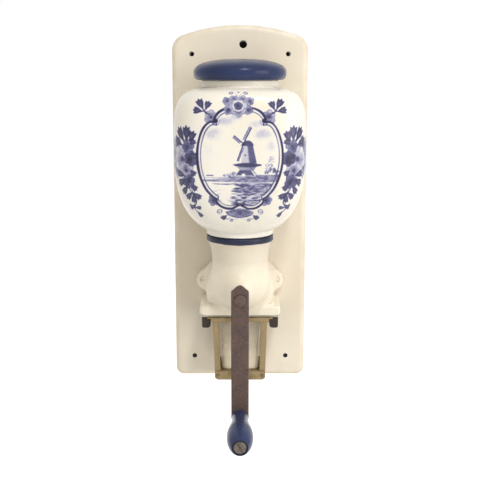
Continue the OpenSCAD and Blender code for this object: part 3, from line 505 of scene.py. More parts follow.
@dataclass(frozen=True)
class BoardPaint:
    """Old cream paint on a wooden board: faint grain, brush marks, rubbed edges, and near black painted shade
    on the walls of the holes.
    """

    name: str = "cream_board_paint"
    light: Colour = srgb(227, 218, 201)
    dark: Colour = srgb(214, 203, 184)
    rubbed: Colour = srgb(205, 186, 156)
    speck: Colour = srgb(150, 130, 104)
    # bore: near black for the walls of the holes, painted shade of the deep holes
    bore: Colour = srgb(34, 31, 32)

    def material(self) -> Material:
        """Builds the material."""
        mix = Recipe(self.name, roughness=0.55)
        brush = mix.noise(60, 5, (1.0, 1.0, 0.06))
        patch = mix.noise(14, 3, shift=3.0)
        body = mix.mix(mix.span(patch, 0.3, 0.7), self.light, self.dark)
        body = mix.mix(mix.span(brush, 0.55, 0.8, 0.0, 0.35), body, self.dark)
        specks = mix.times(mix.span(mix.cells(170), 0.10, 0.04, 0.0, 0.35), mix.cloud(30, 2, 0.52, 0.62, 8.0))
        body = mix.mix(specks, body, self.speck)
        wear = mix.times(mix.times(mix.mark("edge"), mix.cloud(45, 4, 0.42, 0.62, 5.0)), 0.55)
        body = mix.mix(wear, body, self.rubbed)
        # painted shade: the walls of the holes, marked bore, turn near black
        body = mix.mix(mix.mark("bore"), body, self.bore)
        mix.bump(brush, 0.12)
        mix.bump(mix.noise(24, 2, shift=1.0), 0.35)
        return mix.dress(body, mix.span(patch, 0.2, 0.8, 0.42, 0.62))


@dataclass(frozen=True)
class Glaze:
    """Milk white glaze over blue brushwork; the ink is read from the mesh."""

    name: str = "white_blue_glaze"
    white: Colour = srgb(231, 227, 218)
    warm: Colour = srgb(227, 220, 204)
    pale: Colour = srgb(180, 179, 197)
    middle: Colour = srgb(96, 95, 134)
    deep: Colour = srgb(34, 32, 60)
    grain: float = 0.16

    def material(self) -> Material:
        """Builds the material."""
        mix = Recipe(self.name, roughness=0.25, shine=0.35)
        tone = mix.mix(mix.cloud(16, 3, 0.35, 0.7), self.white, self.warm)
        grain = mix.math("SUBTRACT", mix.times(mix.noise(900, 2), self.grain), self.grain / 2)
        ink = mix.mark("ink")
        ink = mix.math("ADD", ink, mix.times(ink, grain))
        painted = self.white
        for low, high, colour in ((0.0, 0.3, self.pale), (0.3, 0.62, self.middle), (0.62, 1.0, self.deep)):
            painted = mix.mix(mix.span(ink, low, high), painted, colour)
        colour = mix.mix(mix.span(ink, 0.02, 0.2), tone, painted)
        mix.bump(mix.noise(40, 2, shift=2.0), 0.12)
        return mix.dress(colour, mix.span(mix.noise(70, 3), 0.2, 0.8, 0.2, 0.34))


@dataclass(frozen=True)
class Lacquer:
    """Slate blue lacquer on turned wood, with dust, small chips and a soft shine."""

    name: str = "slate_blue_lacquer"
    body: Colour = srgb(45, 56, 93)
    shade: Colour = srgb(38, 45, 74)
    chip: Colour = srgb(139, 128, 120)
    dust: Colour = srgb(98, 103, 126)

    def material(self) -> Material:
        """Builds the material."""
        mix = Recipe(self.name, roughness=0.3, shine=0.18)
        colour = mix.mix(mix.cloud(35, 4, 0.3, 0.7), self.body, self.shade)
        colour = mix.mix(mix.span(mix.noise(420, 2, shift=4.0), 0.68, 0.8, 0.0, 0.3), colour, self.dust)
        chips = mix.times(mix.span(mix.cells(150), 0.12, 0.06), mix.cloud(26, 2, 0.6, 0.68, 6.0))
        colour = mix.mix(chips, colour, self.chip)
        mix.bump(mix.noise(130, 3, shift=2.0), 0.05)
        return mix.dress(colour, mix.span(mix.noise(60, 3, shift=1.0), 0.25, 0.75, 0.18, 0.3))


@dataclass(frozen=True)
class CastEnamel:
    """Cream enamel over sand cast iron: painted darker on the throat as shade under the jar, with a blue band
    painted on the collar.

    Heights and depths are in millimetres; what lies nearer the wall than soiled_d is soiled.
    """

    name: str = "cream_cast_enamel"
    cream: Colour = srgb(232, 224, 207)
    aged: Colour = srgb(223, 212, 191)
    grime: Colour = srgb(176, 155, 124)
    # painted shade under the jar: the throat colour and the heights over which it grows in
    throat: Colour = srgb(204, 194, 176)
    throat_shade_z: tuple[float, float] = (-54.0, -38.0)
    band: Colour = srgb(28, 33, 55)
    band_worn: Colour = srgb(36, 41, 64)
    band_z: tuple[float, float] = (-20.4, -13.0)
    band_edge: float = 0.15
    soiled_d: float = 0.0
    soiled_edge: float = 0.12

    def material(self) -> Material:
        """Builds the material."""
        mix = Recipe(self.name, roughness=0.36, shine=0.3)
        colour = mix.mix(mix.cloud(32, 4, 0.35, 0.7, 3.0), self.cream, self.aged)
        # painted shade under the jar: the throat colour grows in with height, up to a share of 0.6
        throat_shade = mix.span(mix.part("Z"), self.throat_shade_z[0] * MM, self.throat_shade_z[1] * MM, 0.0, 0.6)
        colour = mix.mix(throat_shade, colour, self.throat)
        pits = mix.times(mix.span(mix.cells(260), 0.12, 0.05), mix.cloud(40, 2, 0.56, 0.66, 7.0))
        hollow = mix.times(mix.mark("crevice"), mix.span(mix.noise(60, 3), 0.3, 0.6, 0.3, 1.0))
        edge = self.soiled_edge
        soiled = mix.span(mix.part("Y"), -(self.soiled_d + edge) * MM, -(self.soiled_d - edge) * MM)
        for spot, share in ((pits, 0.7), (hollow, 0.25), (soiled, 0.7)):
            colour = mix.mix(mix.times(spot, share), colour, self.grime)
        wobble = mix.times(mix.math("SUBTRACT", mix.noise(55, 2, shift=9.0), 0.5), 2.2 * MM)
        height = mix.math("ADD", mix.part("Z"), wobble)
        low, high, edge = self.band_z[0], self.band_z[1], self.band_edge
        band = mix.times(mix.span(height, (low - edge) * MM, (low + edge) * MM),
                         mix.span(height, (high + edge) * MM, (high - edge) * MM))
        colour = mix.mix(band, colour, mix.mix(mix.cloud(80, 3, 0.3, 0.7), self.band, self.band_worn))
        mix.bump(mix.noise(230, 4, rough=0.6), 0.22)
        mix.bump(mix.noise(38, 2, shift=5.0), 0.7)
        return mix.dress(colour, mix.span(mix.noise(50, 3), 0.2, 0.8, 0.3, 0.46))


@dataclass(frozen=True)
class OldMetal:
    """Bare metal with age on it: a base, a stain in patches, scratches and pits."""

    name: str
    base: Colour
    stain: Colour
    roughness: float = 0.45
    metallic: float = 0.85
    pitting: float = 0.1
    drawn: Triple = (1.0, 1.0, 1.0)

    def material(self) -> Material:
        """Builds the material."""
        mix = Recipe(self.name, self.roughness, self.metallic, 0.3)
        patch = mix.noise(70, 5, shift=1.0)
        colour = mix.mix(mix.span(patch, 0.495, 0.68), self.base, self.stain)
        scratch = mix.span(mix.noise(300, 2, self.drawn, shift=2.0), 0.62, 0.75, 0.0, 0.35)
        colour = mix.mix(scratch, colour, lit(self.base, 1.5, 0.02))
        mix.bump(mix.noise(500, 3, self.drawn, shift=5.0), self.pitting)
        mix.bump(mix.noise(60, 2, shift=4.0), self.pitting * 2.5)
        low, high = max(0.05, self.roughness - 0.12), min(1.0, self.roughness + 0.16)
        return mix.dress(colour, mix.span(patch, 0.3, 0.75, low, high))


@dataclass(frozen=True)
class RustyIron:
    """Rusted iron: brown with violet grey patches, reddish spots, dark pits and pale specks."""

    name: str
    brown: Colour = srgb(94, 76, 69)
    grey: Colour = srgb(82, 70, 68)
    red: Colour = srgb(104, 79, 68)
    dark: Colour = srgb(66, 54, 51)
    grain: float = 420.0

    def material(self) -> Material:
        """Builds the material."""
        mix = Recipe(self.name, 0.6, 0.2, 0.28)
        patch = mix.noise(70, 4, shift=1.0)
        fine = mix.noise(self.grain, 4, shift=6.0, rough=0.65)
        spots = mix.span(mix.noise(self.grain * 0.7, 3, shift=9.0), 0.56, 0.68, 0.0, 0.7)
        specks = mix.span(mix.noise(self.grain, 3, shift=12.0), 0.58, 0.68, 0.0, 0.6)
        colour = mix.mix(mix.span(patch, 0.36, 0.64), self.brown, self.grey)
        for share, tone in ((spots, self.red), (mix.span(fine, 0.54, 0.66, 0.0, 0.8), self.dark),
                            (specks, lit(self.brown, 1.6))):
            colour = mix.mix(share, colour, tone)
        mix.bump(fine, 0.12)
        mix.bump(mix.noise(60, 2, shift=4.0), 0.3)
        return mix.dress(colour, mix.span(patch, 0.3, 0.75, 0.5, 0.72))


@dataclass(frozen=True)
class PlateWithPaintedLight:
    """A sheet iron plate: near black above a height as painted shade of the gap under the flange, with a
    painted highlight along its lower edge.
    """

    name: str = "plate_iron_painted_light"
    gap_shade: Colour = srgb(44, 38, 34)
    gap_shade_mottle: Colour = srgb(70, 60, 52)
    painted_highlight: Colour = srgb(214, 205, 190)
    shade_highlight_z: float = -95.5
    shade_highlight_blend: float = 0.1

    def material(self) -> Material:
        """Builds the material."""
        mix = Recipe(self.name, 0.5, 0.3, 0.3)
        low, high = self.shade_highlight_z - self.shade_highlight_blend, self.shade_highlight_z + self.shade_highlight_blend
        # painted highlight below the height, painted shade above it
        share = mix.span(mix.part("Z"), high * MM, low * MM)
        body = mix.mix(mix.cloud(120, 3, 0.35, 0.65), self.gap_shade, self.gap_shade_mottle)
        mix.bump(mix.noise(200, 3, shift=2.0), 0.08)
        return mix.dress(mix.mix(share, body, self.painted_highlight))


@dataclass(frozen=True)
class Fibrous:
    """Felt or fibre: a fine tangle of light and dark threads."""

    name: str
    base: Colour
    dark: Colour

    def material(self) -> Material:
        """Builds the material."""
        mix = Recipe(self.name, roughness=0.9)
        tangle = mix.noise(1400, 4, (1.0, 1.0, 0.3))
        mix.bump(tangle, 0.2)
        return mix.dress(mix.mix(mix.span(tangle, 0.35, 0.65), self.base, self.dark))


@dataclass(frozen=True)
class PressedGlass:
    """Slightly wavy pressed glass with a faint warm tint; along the lines that the mesh marks as edge it is
    less clear and more opaque, as a painted highlight.
    """

    name: str = "pressed_glass"
    tint: Colour = srgb(250, 240, 214)
    warm: Colour = srgb(242, 230, 202)
    cover: float = 0.13
    clear: float = 0.55
    painted_highlight: float = 0.85
    highlight_whitening: float = 0.5
    bending: float = 1.5

    def material(self) -> Material:
        """Builds the material."""
        mix = Recipe(self.name, roughness=0.03)
        # edge: lines near the front corners and along the foot, made whiter as painted highlight
        edge = mix.mark("edge")
        mix.give("Transmission Weight", mix.math("SUBTRACT", self.clear, mix.times(edge, self.highlight_whitening)))
        mix.give("Alpha", mix.math("ADD", self.cover, mix.times(edge, self.painted_highlight)))
        mix.give("IOR", self.bending)
        mix.bump(mix.noise(60, 2), 0.25)
        return mix.dress(mix.mix(mix.cloud(40, 2, 0.3, 0.7, 2.0), self.tint, self.warm))


def smooth_line(points: Line, step: float = 0.25) -> np.ndarray:
    """Runs a Catmull-Rom curve through points.

    Args:
        points: the points.
        step: about how far apart the points of the result are.

    Returns:
        The points of the curve.
    """
    given = np.asarray(points, float)
    ends = np.vstack([2 * given[0] - given[1], given, 2 * given[-1] - given[-2]])
    length = np.linalg.norm(np.diff(given, axis=0), axis=1).sum()
    u = np.linspace(0, len(given) - 1, max(6, int(length / step)))
    i = np.minimum(u.astype(int), len(given) - 2)
    f = (u - i)[:, None]
    a, b, c, d = ends[i], ends[i + 1], ends[i + 2], ends[i + 3]
    bend, twist = 2 * a - 5 * b + 4 * c - d, 3 * b - 3 * c + d - a
    return 0.5 * (2 * b + (c - a) * f + bend * f ** 2 + twist * f ** 3)


@dataclass
class Brushwork:
    """A flat sheet of ink, from 0, bare, to 1, dark, that is laid on the front of the jar.

    s runs across the jar along its skin from the middle of the front, and t runs up the skin from
    the belly.
    """

    half_s: float = 92.0
    half_t: float = 80.0
    step: float = 0.3
    soft: float = 0.35
    seed: int = 17
    chunk: int = 28

    def __post_init__(self) -> None:
        """Lays out the bare sheet and the mottle that uneven washes take."""
        self.dice = np.random.default_rng(self.seed)
        cols, rows = int(2 * self.half_s / self.step) + 1, int(2 * self.half_t / self.step) + 1
        self.s = np.linspace(-self.half_s, self.half_s, cols)
        self.t = np.linspace(-self.half_t, self.half_t, rows)
        self.ink = np.zeros((rows, cols))
        self.mottle = sum(share * self.value_noise(rows, cols, size)
                          for size, share in ((18, 0.45), (7, 0.35), (3, 0.2)))

    def value_noise(self, rows: int, cols: int, size: int) -> np.ndarray:
        """Gives noise from 0 to 1: random values on a coarse grid, joined smoothly."""
        coarse = self.dice.random((rows // size + 3, cols // size + 3))
        y, x = np.arange(rows)[:, None] / size, np.arange(cols)[None] / size
        i, j = y.astype(int), x.astype(int)
        v, u = (3 * f ** 2 - 2 * f ** 3 for f in (y - i, x - j))
        return self.between(coarse, i, j, u, v)

    @staticmethod
    def between(grid: np.ndarray, i: np.ndarray, j: np.ndarray, u: np.ndarray, v: np.ndarray) -> np.ndarray:
        """Mixes the four samples about places in a grid, with shares v and u of the next row and column."""
        low = grid[i, j] * (1 - u) + grid[i, j + 1] * u
        high = grid[i + 1, j] * (1 - u) + grid[i + 1, j + 1] * u
        return low * (1 - v) + high * v

    def window(self, low: np.ndarray, high: np.ndarray) -> Window:
        """Gives the rows and columns of the sheet that hold a box."""
        cols = np.searchsorted(self.s, [low[0], high[0]])
        rows = np.searchsorted(self.t, [low[1], high[1]])
        return slice(int(rows[0]), int(rows[1]) + 1), slice(int(cols[0]), int(cols[1]) + 1)

    def about(self, s: float, t: float, wide: float, high: float) -> tuple[Window, np.ndarray, np.ndarray]:
        """Gives the window about a place, and how far right of it and above it the samples lie."""
        where = self.window(np.array([s - wide, t - high]), np.array([s + wide, t + high]))
        return where, self.s[where[1]][None] - s, self.t[where[0]][:, None] - t

    def lay(self, where: Window, cover: np.ndarray, tone: float, way: Lay = Lay.OVER) -> None:
        """Lays a cover of ink on a window of the sheet, or lifts ink off."""
        old = self.ink[where]
        fresh = tone * cover
        self.ink[where] = np.maximum(old, fresh) if way is Lay.OVER else old * (1 - cover) + fresh

    def stroke(self, points: Line, width: float, tone: float = 1.0, taper: float = 0.5,
               way: Lay = Lay.OVER) -> None:
        """Draws a brush line: its cover falls off over the soft width at half the width from the line.

        Args:
            points: points that the line runs through.
            width: its width in the middle.
            tone: its ink.
            taper: how much thinner its ends are.
            way: whether ink is laid on or lifted off.
        """
        line = smooth_line(points)
        u = np.linspace(-1, 1, len(line))
        pulse = 1.0
        for depth, beat in ((0.14, 9), (0.07, 23)):
            pulse = pulse + depth * np.sin(u * beat + self.dice.random() * 6)
        half = width / 2 * (1 - taper * np.abs(u) ** 2.5) * pulse
        pad = width + self.soft
        for start in range(0, len(line), self.chunk):
            part, reach = line[start:start + self.chunk + 1], half[start:start + self.chunk + 1]
            where = self.window(part.min(axis=0) - pad, part.max(axis=0) + pad)
            ds = self.s[where[1]][None, :, None] - part[:, 0]
            dt = self.t[where[0]][:, None, None] - part[:, 1]
            cover = ((reach - np.hypot(ds, dt)) / self.soft + 0.5).max(axis=-1).clip(0, 1)
            self.lay(where, cover, tone, way)

    def patch(self, corners: Line, tone: float, uneven: float = 0.5, way: Lay = Lay.OVER) -> None:
        """Fills a closed outline with an uneven wash.

        Args:
            corners: points of the outline.
            tone: its ink.
            uneven: how far the mottle thins it.
            way: whether ink is laid on or lifted off.
        """
        outline = np.asarray(corners, float)
        where = self.window(outline.min(axis=0), outline.max(axis=0))
        s, t = np.meshgrid(self.s[where[1]], self.t[where[0]])
        cover = inside(np.stack([s.ravel(), t.ravel()], axis=1), [outline]).reshape(s.shape).astype(float)
        if way is Lay.OVER:
            cover *= 1 - uneven * self.mottle[where]
        self.lay(where, cover, tone, way)

    def dot(self, s: float, t: float, radius: float, tone: float = 1.0) -> None:
        """Sets down a round touch of the brush."""
        where, ds, dt = self.about(s, t, radius + 1, radius + 1)
        self.lay(where, ((radius - np.hypot(ds, dt)) / self.soft + 0.5).clip(0, 1), tone)

    def leaf(self, base: tuple[float, float], tip: tuple[float, float], width: float) -> None:
        """Paints a dark leaf with three points at its tip and pale veins.

        Args:
            base: where it leaves its stalk.
            tip: its middle tip.
            width: its width over the side tips.
        """
        a, b = np.array(base, float), np.array(tip, float)
        along = b - a
        side = np.array([-along[1], along[0]]) / np.linalg.norm(along) * width
        half = smooth_line(((0, 0.03), (0.2, 0.16), (0.45, 0.38), (0.68, 0.44), (0.88, 0.46)), 0.05)
        half = np.vstack([half, [(0.78, 0.22), (1.0, 0.0)]])
        left, right = (a + along * half[:, :1] + sign * side * half[:, 1:] for sign in (1, -1))
        outline = np.vstack([left, right[::-1]])
        self.patch(outline, 0.0, 0.0, Lay.LIFT)
        self.patch(outline, 1.0, 0.15)
        self.stroke(np.vstack([left, right[::-1][1:]])[::2], 0.5, 1.0, 0.0)
        for share in (-0.5, 0.0, 0.5):
            end = a + along * (0.8 - 0.2 * abs(share)) + side * 0.5 * share
            self.stroke([a + along * 0.3, end], 0.34, 0.5, 0.5, Lay.LIFT)

    def bloom(self, centre: tuple[float, float], radius: float, petals: int, pale: float, dark: float,
              turn: float = 0.0, heart: float = 0.2) -> None:
        """Paints a flower in washes: the ink grows from the rims to the heart, with streaks along the petals.

        The rim lies at R (0.74 + 0.26 |cos(n a / 2)|^0.5), so n petals meet in grooves.

        Args:
            centre: its middle.
            radius: its reach R.
            petals: how many petals n.
            pale: ink near the rims.
            dark: ink near the heart and in the grooves.
            turn: turns it, in radians.
            heart: radius of the dark heart as a share of the reach.
        """
        reach = radius * 1.1 + 1
        where, ds, dt = self.about(*centre, reach, reach)
        angle, far = np.arctan2(dt, ds) - turn, np.hypot(ds, dt)
        lobe = np.abs(np.cos(angle * petals / 2))
        rim = radius * (0.74 + 0.26 * lobe ** 0.5) * (1 + 0.06 * np.sin(3 * angle + self.dice.random() * 6))
        u = (far / rim).clip(0, 1.2)
        mottle = self.mottle[where]
        streak = 0.5 + 0.5 * np.cos(angle * petals * 5 + 5 * mottle)
        shade = pale + (dark - pale) * ((1 - u).clip(0) ** 1.3 + 0.5 * streak * u * (1 - u).clip(0) * 3)
        groove = np.exp(-(lobe / 0.2) ** 2) * (u > 0.2)
        edge = np.exp(-(((1 - u) * rim - 0.5) / 0.42) ** 2)
        inner = 0.85 * np.exp(-((0.6 - 0.12 * lobe - u) * rim / 0.4) ** 2)
        shade = np.max([shade * (0.35 + 1.1 * mottle), dark * groove, dark * edge, dark * inner], axis=0)
        cover = ((rim - far) / self.soft + 0.5).clip(0, 1)
        self.lay(where, cover, 0.0, Lay.LIFT)
        self.lay(where, cover * shade.clip(0, 1), 1.0)
        self.dot(*centre, radius * heart, min(1.0, dark + 0.2))
        ring = 1.5 * heart * radius
        for k in range(petals):
            a = turn + 2 * math.pi * k / petals
            self.dot(centre[0] + ring * math.cos(a), centre[1] + ring * math.sin(a), 0.35, dark)

    def haze(self, s: float, t: float, wide: float, high: float, tone: float) -> None:
        """Lays a soft cloud of ink whose cover falls off as exp(-u^2 - v^2)."""
        where, ds, dt = self.about(s, t, 2 * wide, 2 * high)
        fall = np.exp(-(ds / wide) ** 2 - (dt / high) ** 2)
        self.lay(where, fall * (0.4 + 0.9 * self.mottle[where]), tone)

    def scroll(self, points: Line, width: float, curl: float, tone: float = 0.95) -> None:
        """Draws a line whose end rolls up into a spiral.

        Args:
            points: points of the line.
            width: its width.
            curl: radius of the spiral at its mouth; a negative one rolls the other way.
            tone: its ink.
        """
        path = np.asarray(points, float)
        way = path[-1] - path[-2]
        heading = math.atan2(way[1], way[0])
        sign = math.copysign(1.0, curl)
        turn = np.linspace(0, 2.6 * math.pi, 16)[1:]
        size = abs(curl) * (1 - 0.72 * turn / turn[-1])
        angle = heading - sign * math.pi / 2 + sign * np.concatenate([[0.0], turn])
        ray = np.stack([np.cos(angle), np.sin(angle)], axis=1)
        roll = path[-1] - abs(curl) * ray[0] + size[:, None] * ray[1:]
        self.stroke(np.vstack([path, roll]), width, tone, 0.3)

    def softened(self) -> "Brushwork":
        """Lets the ink run a little: each sample takes a share of its neighbours."""
        for axis in (0, 1):
            self.ink = 0.5 * self.ink + 0.25 * (np.roll(self.ink, 1, axis) + np.roll(self.ink, -1, axis))
        return self

    def read(self, s: np.ndarray, t: np.ndarray) -> np.ndarray:
        """Reads the ink at places on the sheet, between its four nearest samples."""
        x = ((s + self.half_s) / self.step).clip(0, len(self.s) - 1.001)
        y = ((t + self.half_t) / self.step).clip(0, len(self.t) - 1.001)
        i, j = y.astype(int), x.astype(int)
        return self.between(self.ink, i, j, x - j, y - i)


@dataclass
class JarPainting:
    """The jar's decoration: a lobed frame round a waterside landscape, and flowers about it."""

    sheet: Brushwork = field(default_factory=Brushwork)
    frame: Line = ((0, 41), (7, 41.3), (13, 40.2), (18.5, 37), (22, 31.5), (21.5, 28.8), (25.5, 29),
                   (30, 25.8), (34, 18.5), (36.6, 7), (36.8, -6), (34.4, -18), (29.8, -28.6), (24, -35.5),
                   (20.2, -38.3), (20.6, -40.2), (18.6, -43.4), (13.4, -46.8), (7.4, -47.4),
                   (3, -45.4), (0, -43.4))
    crown_s: float = -1.4

    def mirrored(self, points: Line, side: int, shake: float = 0.25) -> list[tuple[float, float]]:
        """Gives points on one side of the middle, with the small differences of handwork."""
        off = self.sheet.dice.normal(0, shake, (len(points), 2))
        return [(side * p[0] + o[0], p[1] + o[1]) for p, o in zip(points, off)]

    def leaves(self, side: int, plan: Sequence[tuple[float, float, float, float, float]]) -> None:
        """Paints leaves on one side of the middle, each given by its base, its tip and its width."""
        for base_s, base_t, tip_s, tip_t, width in plan:
            self.sheet.leaf((side * base_s, base_t), (side * tip_s, tip_t), width)

    def paint(self) -> Brushwork:
        """Paints the whole design, from the back to the front, and gives the sheet."""
        for side in (-1, 1):
            self.side_bouquet(side)
            self.sheet.bloom((side * 24.6, 33.2), 6.6, 6, 0.3, 0.7, 0.4)
            self.sheet.bloom((side * 22.6, -39.4), 5.6, 6, 0.42, 0.85, 0.2)
        self.landscape()
        self.cartouche()
        for side in (-1, 1):
            self.upper_sprays(side)
            self.lower_sprays(side)
        self.crown()
        self.shell()
        return self.sheet.softened()

    def cartouche(self) -> None:
        """Paints the lobed frame: one bold line, one thin line inside it, buds and curls."""
        pen = self.sheet
        for side in (-1, 1):
            edge = smooth_line(self.mirrored(self.frame, side, 0.1), 1.2)
            pen.stroke(edge[::2], 2.1 if side < 0 else 1.8, 1.0, 0.05)
            way = np.array([0.0, -3.0]) - edge
            thin = edge + way / np.linalg.norm(way, axis=1, keepdims=True) * 3.0
            pen.stroke(thin[4:-3:3], 0.8, 0.95, 0.1)
            for s, t, bud, ring, start, end in ((20.8, 30.0, 2.0, 3.4, 80, 300),
                                                (2.4, -44.2, 1.7, 2.9, -120, 110)):
                pen.dot(side * s, t, bud)
                pen.stroke(arc(side * s, t, ring, 90 + start * side, 90 + end * side, 12), 0.6, 0.8, 0.2)

    def landscape(self) -> None:
        """Paints sky, far shore, mill, trees and water inside the frame."""
        pen, dice = self.sheet, self.sheet.dice
        inner = [smooth_line([(side * s, t) for s, t in self.frame], 1.5) for side in (1, -1)]
        pen.patch(np.vstack([inner[0], inner[1][::-1]]), 0.0, 0.0, Lay.LIFT)
        for cloud in ((-13, 30, 9, 4.5, 0.34), (-23, 19, 8, 6, 0.3), (-4, 33, 7, 3, 0.26),
                      (20, 19, 9, 5, 0.3), (14, 27, 8, 4, 0.22), (27, 8, 5, 6, 0.22), (-27, 5, 5, 8, 0.16)):
            pen.haze(*cloud)
        shore = ((-35, -20.6), (-22, -20.2), (-12, -18.6), (-2, -17.4), (14, -16.8), (26, -17), (35, -15.6),
                 (33.6, -22.2), (22, -23.2), (6, -23.4), (-10, -22.4), (-22, -22.4), (-34, -22.2))
        pen.patch(shore, 0.62, 0.5)
        for _ in range(40):
            s, t = dice.uniform(-14, 33), dice.uniform(-22.6, -17.6)
            pen.stroke([(s - 2.4, t), (s, t + 0.3), (s + 2.6, t - 0.1)], 0.6, dice.uniform(0.7, 0.95), 0.7)
        for s in np.arange(14.5, 31, 1.25):
            pen.stroke([(s, -16.4), (s + 0.1, -18.6)], 0.45, 0.8, 0.1)
        pen.stroke([(14, -16.8), (22, -17), (31, -16.4)], 0.45, 0.8, 0.1)
        self.mill()
        for tree in ((25, -9, 3.6, 0.5), (27.6, -3, 3.4, 0.45), (28.6, -12.6, 3.4, 0.75),
                     (31.4, -13.6, 2.4, 0.8), (23.4, -13.8, 2.2, 0.7), (-9.4, -16.4, 2.0, 0.55),
                     (-5.2, -15.8, 2.4, 0.6), (-13.6, -17.4, 1.6, 0.5)):
            self.tree_top(*tree)
        for s in (-27.6, -24.6):
            pen.stroke([(s - 1.6, -17.0), (s, -16.8), (s + 1.6, -17.0)], 0.9, 0.85, 0.3)
        pen.stroke([(-31, -18.8), (-22, -18.9), (-14, -18.6)], 0.5, 0.7, 0.4)
        self.water()

    def mill(self) -> None:
        """Paints the windmill: cap, body in light and shade, gallery, lower house and three sails."""
        pen = self.sheet
        body = ((3.2, 9.2), (11.2, 9.2), (14.6, -6.4), (0.8, -6.4))
        pen.patch(body, 0.0, 0.0, Lay.LIFT)
        pen.patch(body, 0.3, 0.4)
        pen.patch(((6.6, 9.2), (11.2, 9.2), (14.6, -6.4), (9.0, -6.4)), 0.88, 0.3)
        pen.patch(((6.0, 9.2), (7.2, 9.2), (9.6, -6.4), (7.8, -6.4)), 0.6, 0.3)
        pen.patch(((2.6, 8.8), (3.2, 11.2), (5.4, 13.2), (8.6, 13.2), (10.8, 11.4), (12, 8.8)), 0.92, 0.25)
        pen.stroke([(1.2, 9.4), (3.4, 9.2)], 1.0, 0.95, 0.2)
        pen.patch(((-6.4, -7.4), (0, -6.2), (9, -6.0), (18.6, -7.2), (19.2, -8.2), (13, -9.6), (2, -9.6),
                   (-4, -8.8)), 0.95, 0.2)
        pen.patch(((-3.2, -9.2), (14.2, -9.2), (12, -12.6), (0.6, -12.6)), 0.6, 0.5)
        pen.patch(((-3.6, -16.8), (-0.6, -12.4), (9.4, -12.4), (12.6, -16.8)), 0.9, 0.3)
        pen.patch(((1.4, -17.6), (1.4, -15.2), (4.4, -15.2), (4.4, -17.6)), 0.05, 0.0, Lay.LIFT)
        pen.stroke([(9, -10), (14.6, -16.6)], 0.7, 0.8, 0.2)
        hub = np.array([3.0, 10.6])
        for angle, reach, broad in ((63, 15.2, 2.0), (139, 10.4, 2.0), (250, 15.6, 1.3)):
            way = np.array([math.cos(math.radians(angle)), math.sin(math.radians(angle))])
            side = np.array([-way[1], way[0]]) * broad
            root, tip = hub + way * 3, hub + way * reach
            pen.patch([root, tip, tip + side, root + side], 0.45, 0.3)
            pen.stroke([hub, tip], 0.8, 1.0, 0.05)
            pen.stroke([root + side, tip + side], 0.55, 0.85, 0.05)
            for share in np.linspace(0.25, 1.0, 8):
                rung = hub + way * reach * share
                pen.stroke([rung, rung + side], 0.45, 0.8, 0.0)
        pen.dot(3.0, 10.6, 1.1)
        pen.dot(4.6, 0.6, 0.8, 0.75)

    def tree_top(self, s: float, t: float, size: float, tone: float) -> None:
        """Dabs a tree's crown with short touches."""
        pen, dice = self.sheet, self.sheet.dice
        for _ in range(int(8 * size)):
            a, r = dice.uniform(0, 2 * math.pi), size * math.sqrt(dice.random())
            pen.dot(s + r * math.cos(a), t + 0.8 * r * math.sin(a), dice.uniform(0.35, 0.8),
                    tone * dice.uniform(0.5, 1.1))

    def water(self) -> None:
        """Draws the water as level strokes: dense and dark under the mill, thin on the left."""
        pen, dice = self.sheet, self.sheet.dice
        pen.haze(14, -29, 15, 7, 0.5)
        pen.haze(4, -38, 14, 5, 0.3)
        pen.stroke([(-25, -24.2), (-12, -24.6), (-2, -24.0)], 0.9, 0.8, 0.8)
        for _ in range(210):
            t = -24 - 20 * dice.random() ** 1.2
            room = 31 - 0.75 * (-22 - t)
            s, w = dice.uniform(-6, room), dice.uniform(2.5, 8)
            wave = [(s - w / 2, t), (s, t - 0.35), (min(s + w / 2, room), t + 0.1)]
            pen.stroke(wave, dice.uniform(0.5, 1.0), dice.uniform(0.5, 1.0), 0.8)
        for _ in range(16):
            t = -26 - 15 * dice.random()
            s = dice.uniform(-22, -6)
            pen.stroke([(s - 2.2, t), (s, t - 0.3), (s + 2.4, t)], 0.5, dice.uniform(0.25, 0.5), 0.8)

    def crown(self) -> None:
        """Paints the rosette over the frame with its outer petals and the two thin scrolls."""
        pen, mid = self.sheet, self.crown_s
        for side in (-1, 1):
            pen.bloom((9.6 * side + mid, 47.4), 4.4, 5, 0.42, 0.75, 0.5 * side)
            pen.bloom((3.6 * side + mid, 49.0), 4.6, 5, 0.3, 0.7, 0.2 * side)
            pen.bloom((8.2 * side + mid, 39.4), 4.6, 5, 0.3, 0.8, 0.9 * side)
            curl = [(side * s + mid, t) for s, t in ((0.8, 52.0), (1.8, 54.6), (4.6, 57.6))]
            pen.scroll(curl, 0.65, -2.1 * side)
        pen.dot(mid, 57.6, 0.8)
        pen.bloom((mid, 41.6), 8.4, 7, 0.22, 0.8, 0.3, 0.3)
        pen.stroke(circle(mid, 43.0, 4.4, 20), 1.0, 0.06, 0.0, Lay.LIFT)
        pen.bloom((mid, 43.0), 3.9, 5, 0.8, 1.0, 0.3, 0.24)
        pen.dot(mid, 43.0, 0.7, 0.3)

    def upper_sprays(self, side: int) -> None:
        """Paints the three leaves beside the frame's top on one side."""
        fork_s, fork_t = 30.2, 37.8
        for tip_s, tip_t, width in ((26.2, 47.8, 5.8), (36.8, 49.8, 6.6), (41.2, 39.6, 6.0)):
            self.sheet.stroke([(side * 25.6, 35.2), (side * fork_s, fork_t),
                               (side * (fork_s + tip_s) / 2, (fork_t + tip_t) / 2)], 0.8)
            self.leaves(side, [(0.8 * fork_s + 0.2 * tip_s, 0.8 * fork_t + 0.2 * tip_t, tip_s, tip_t, width)])

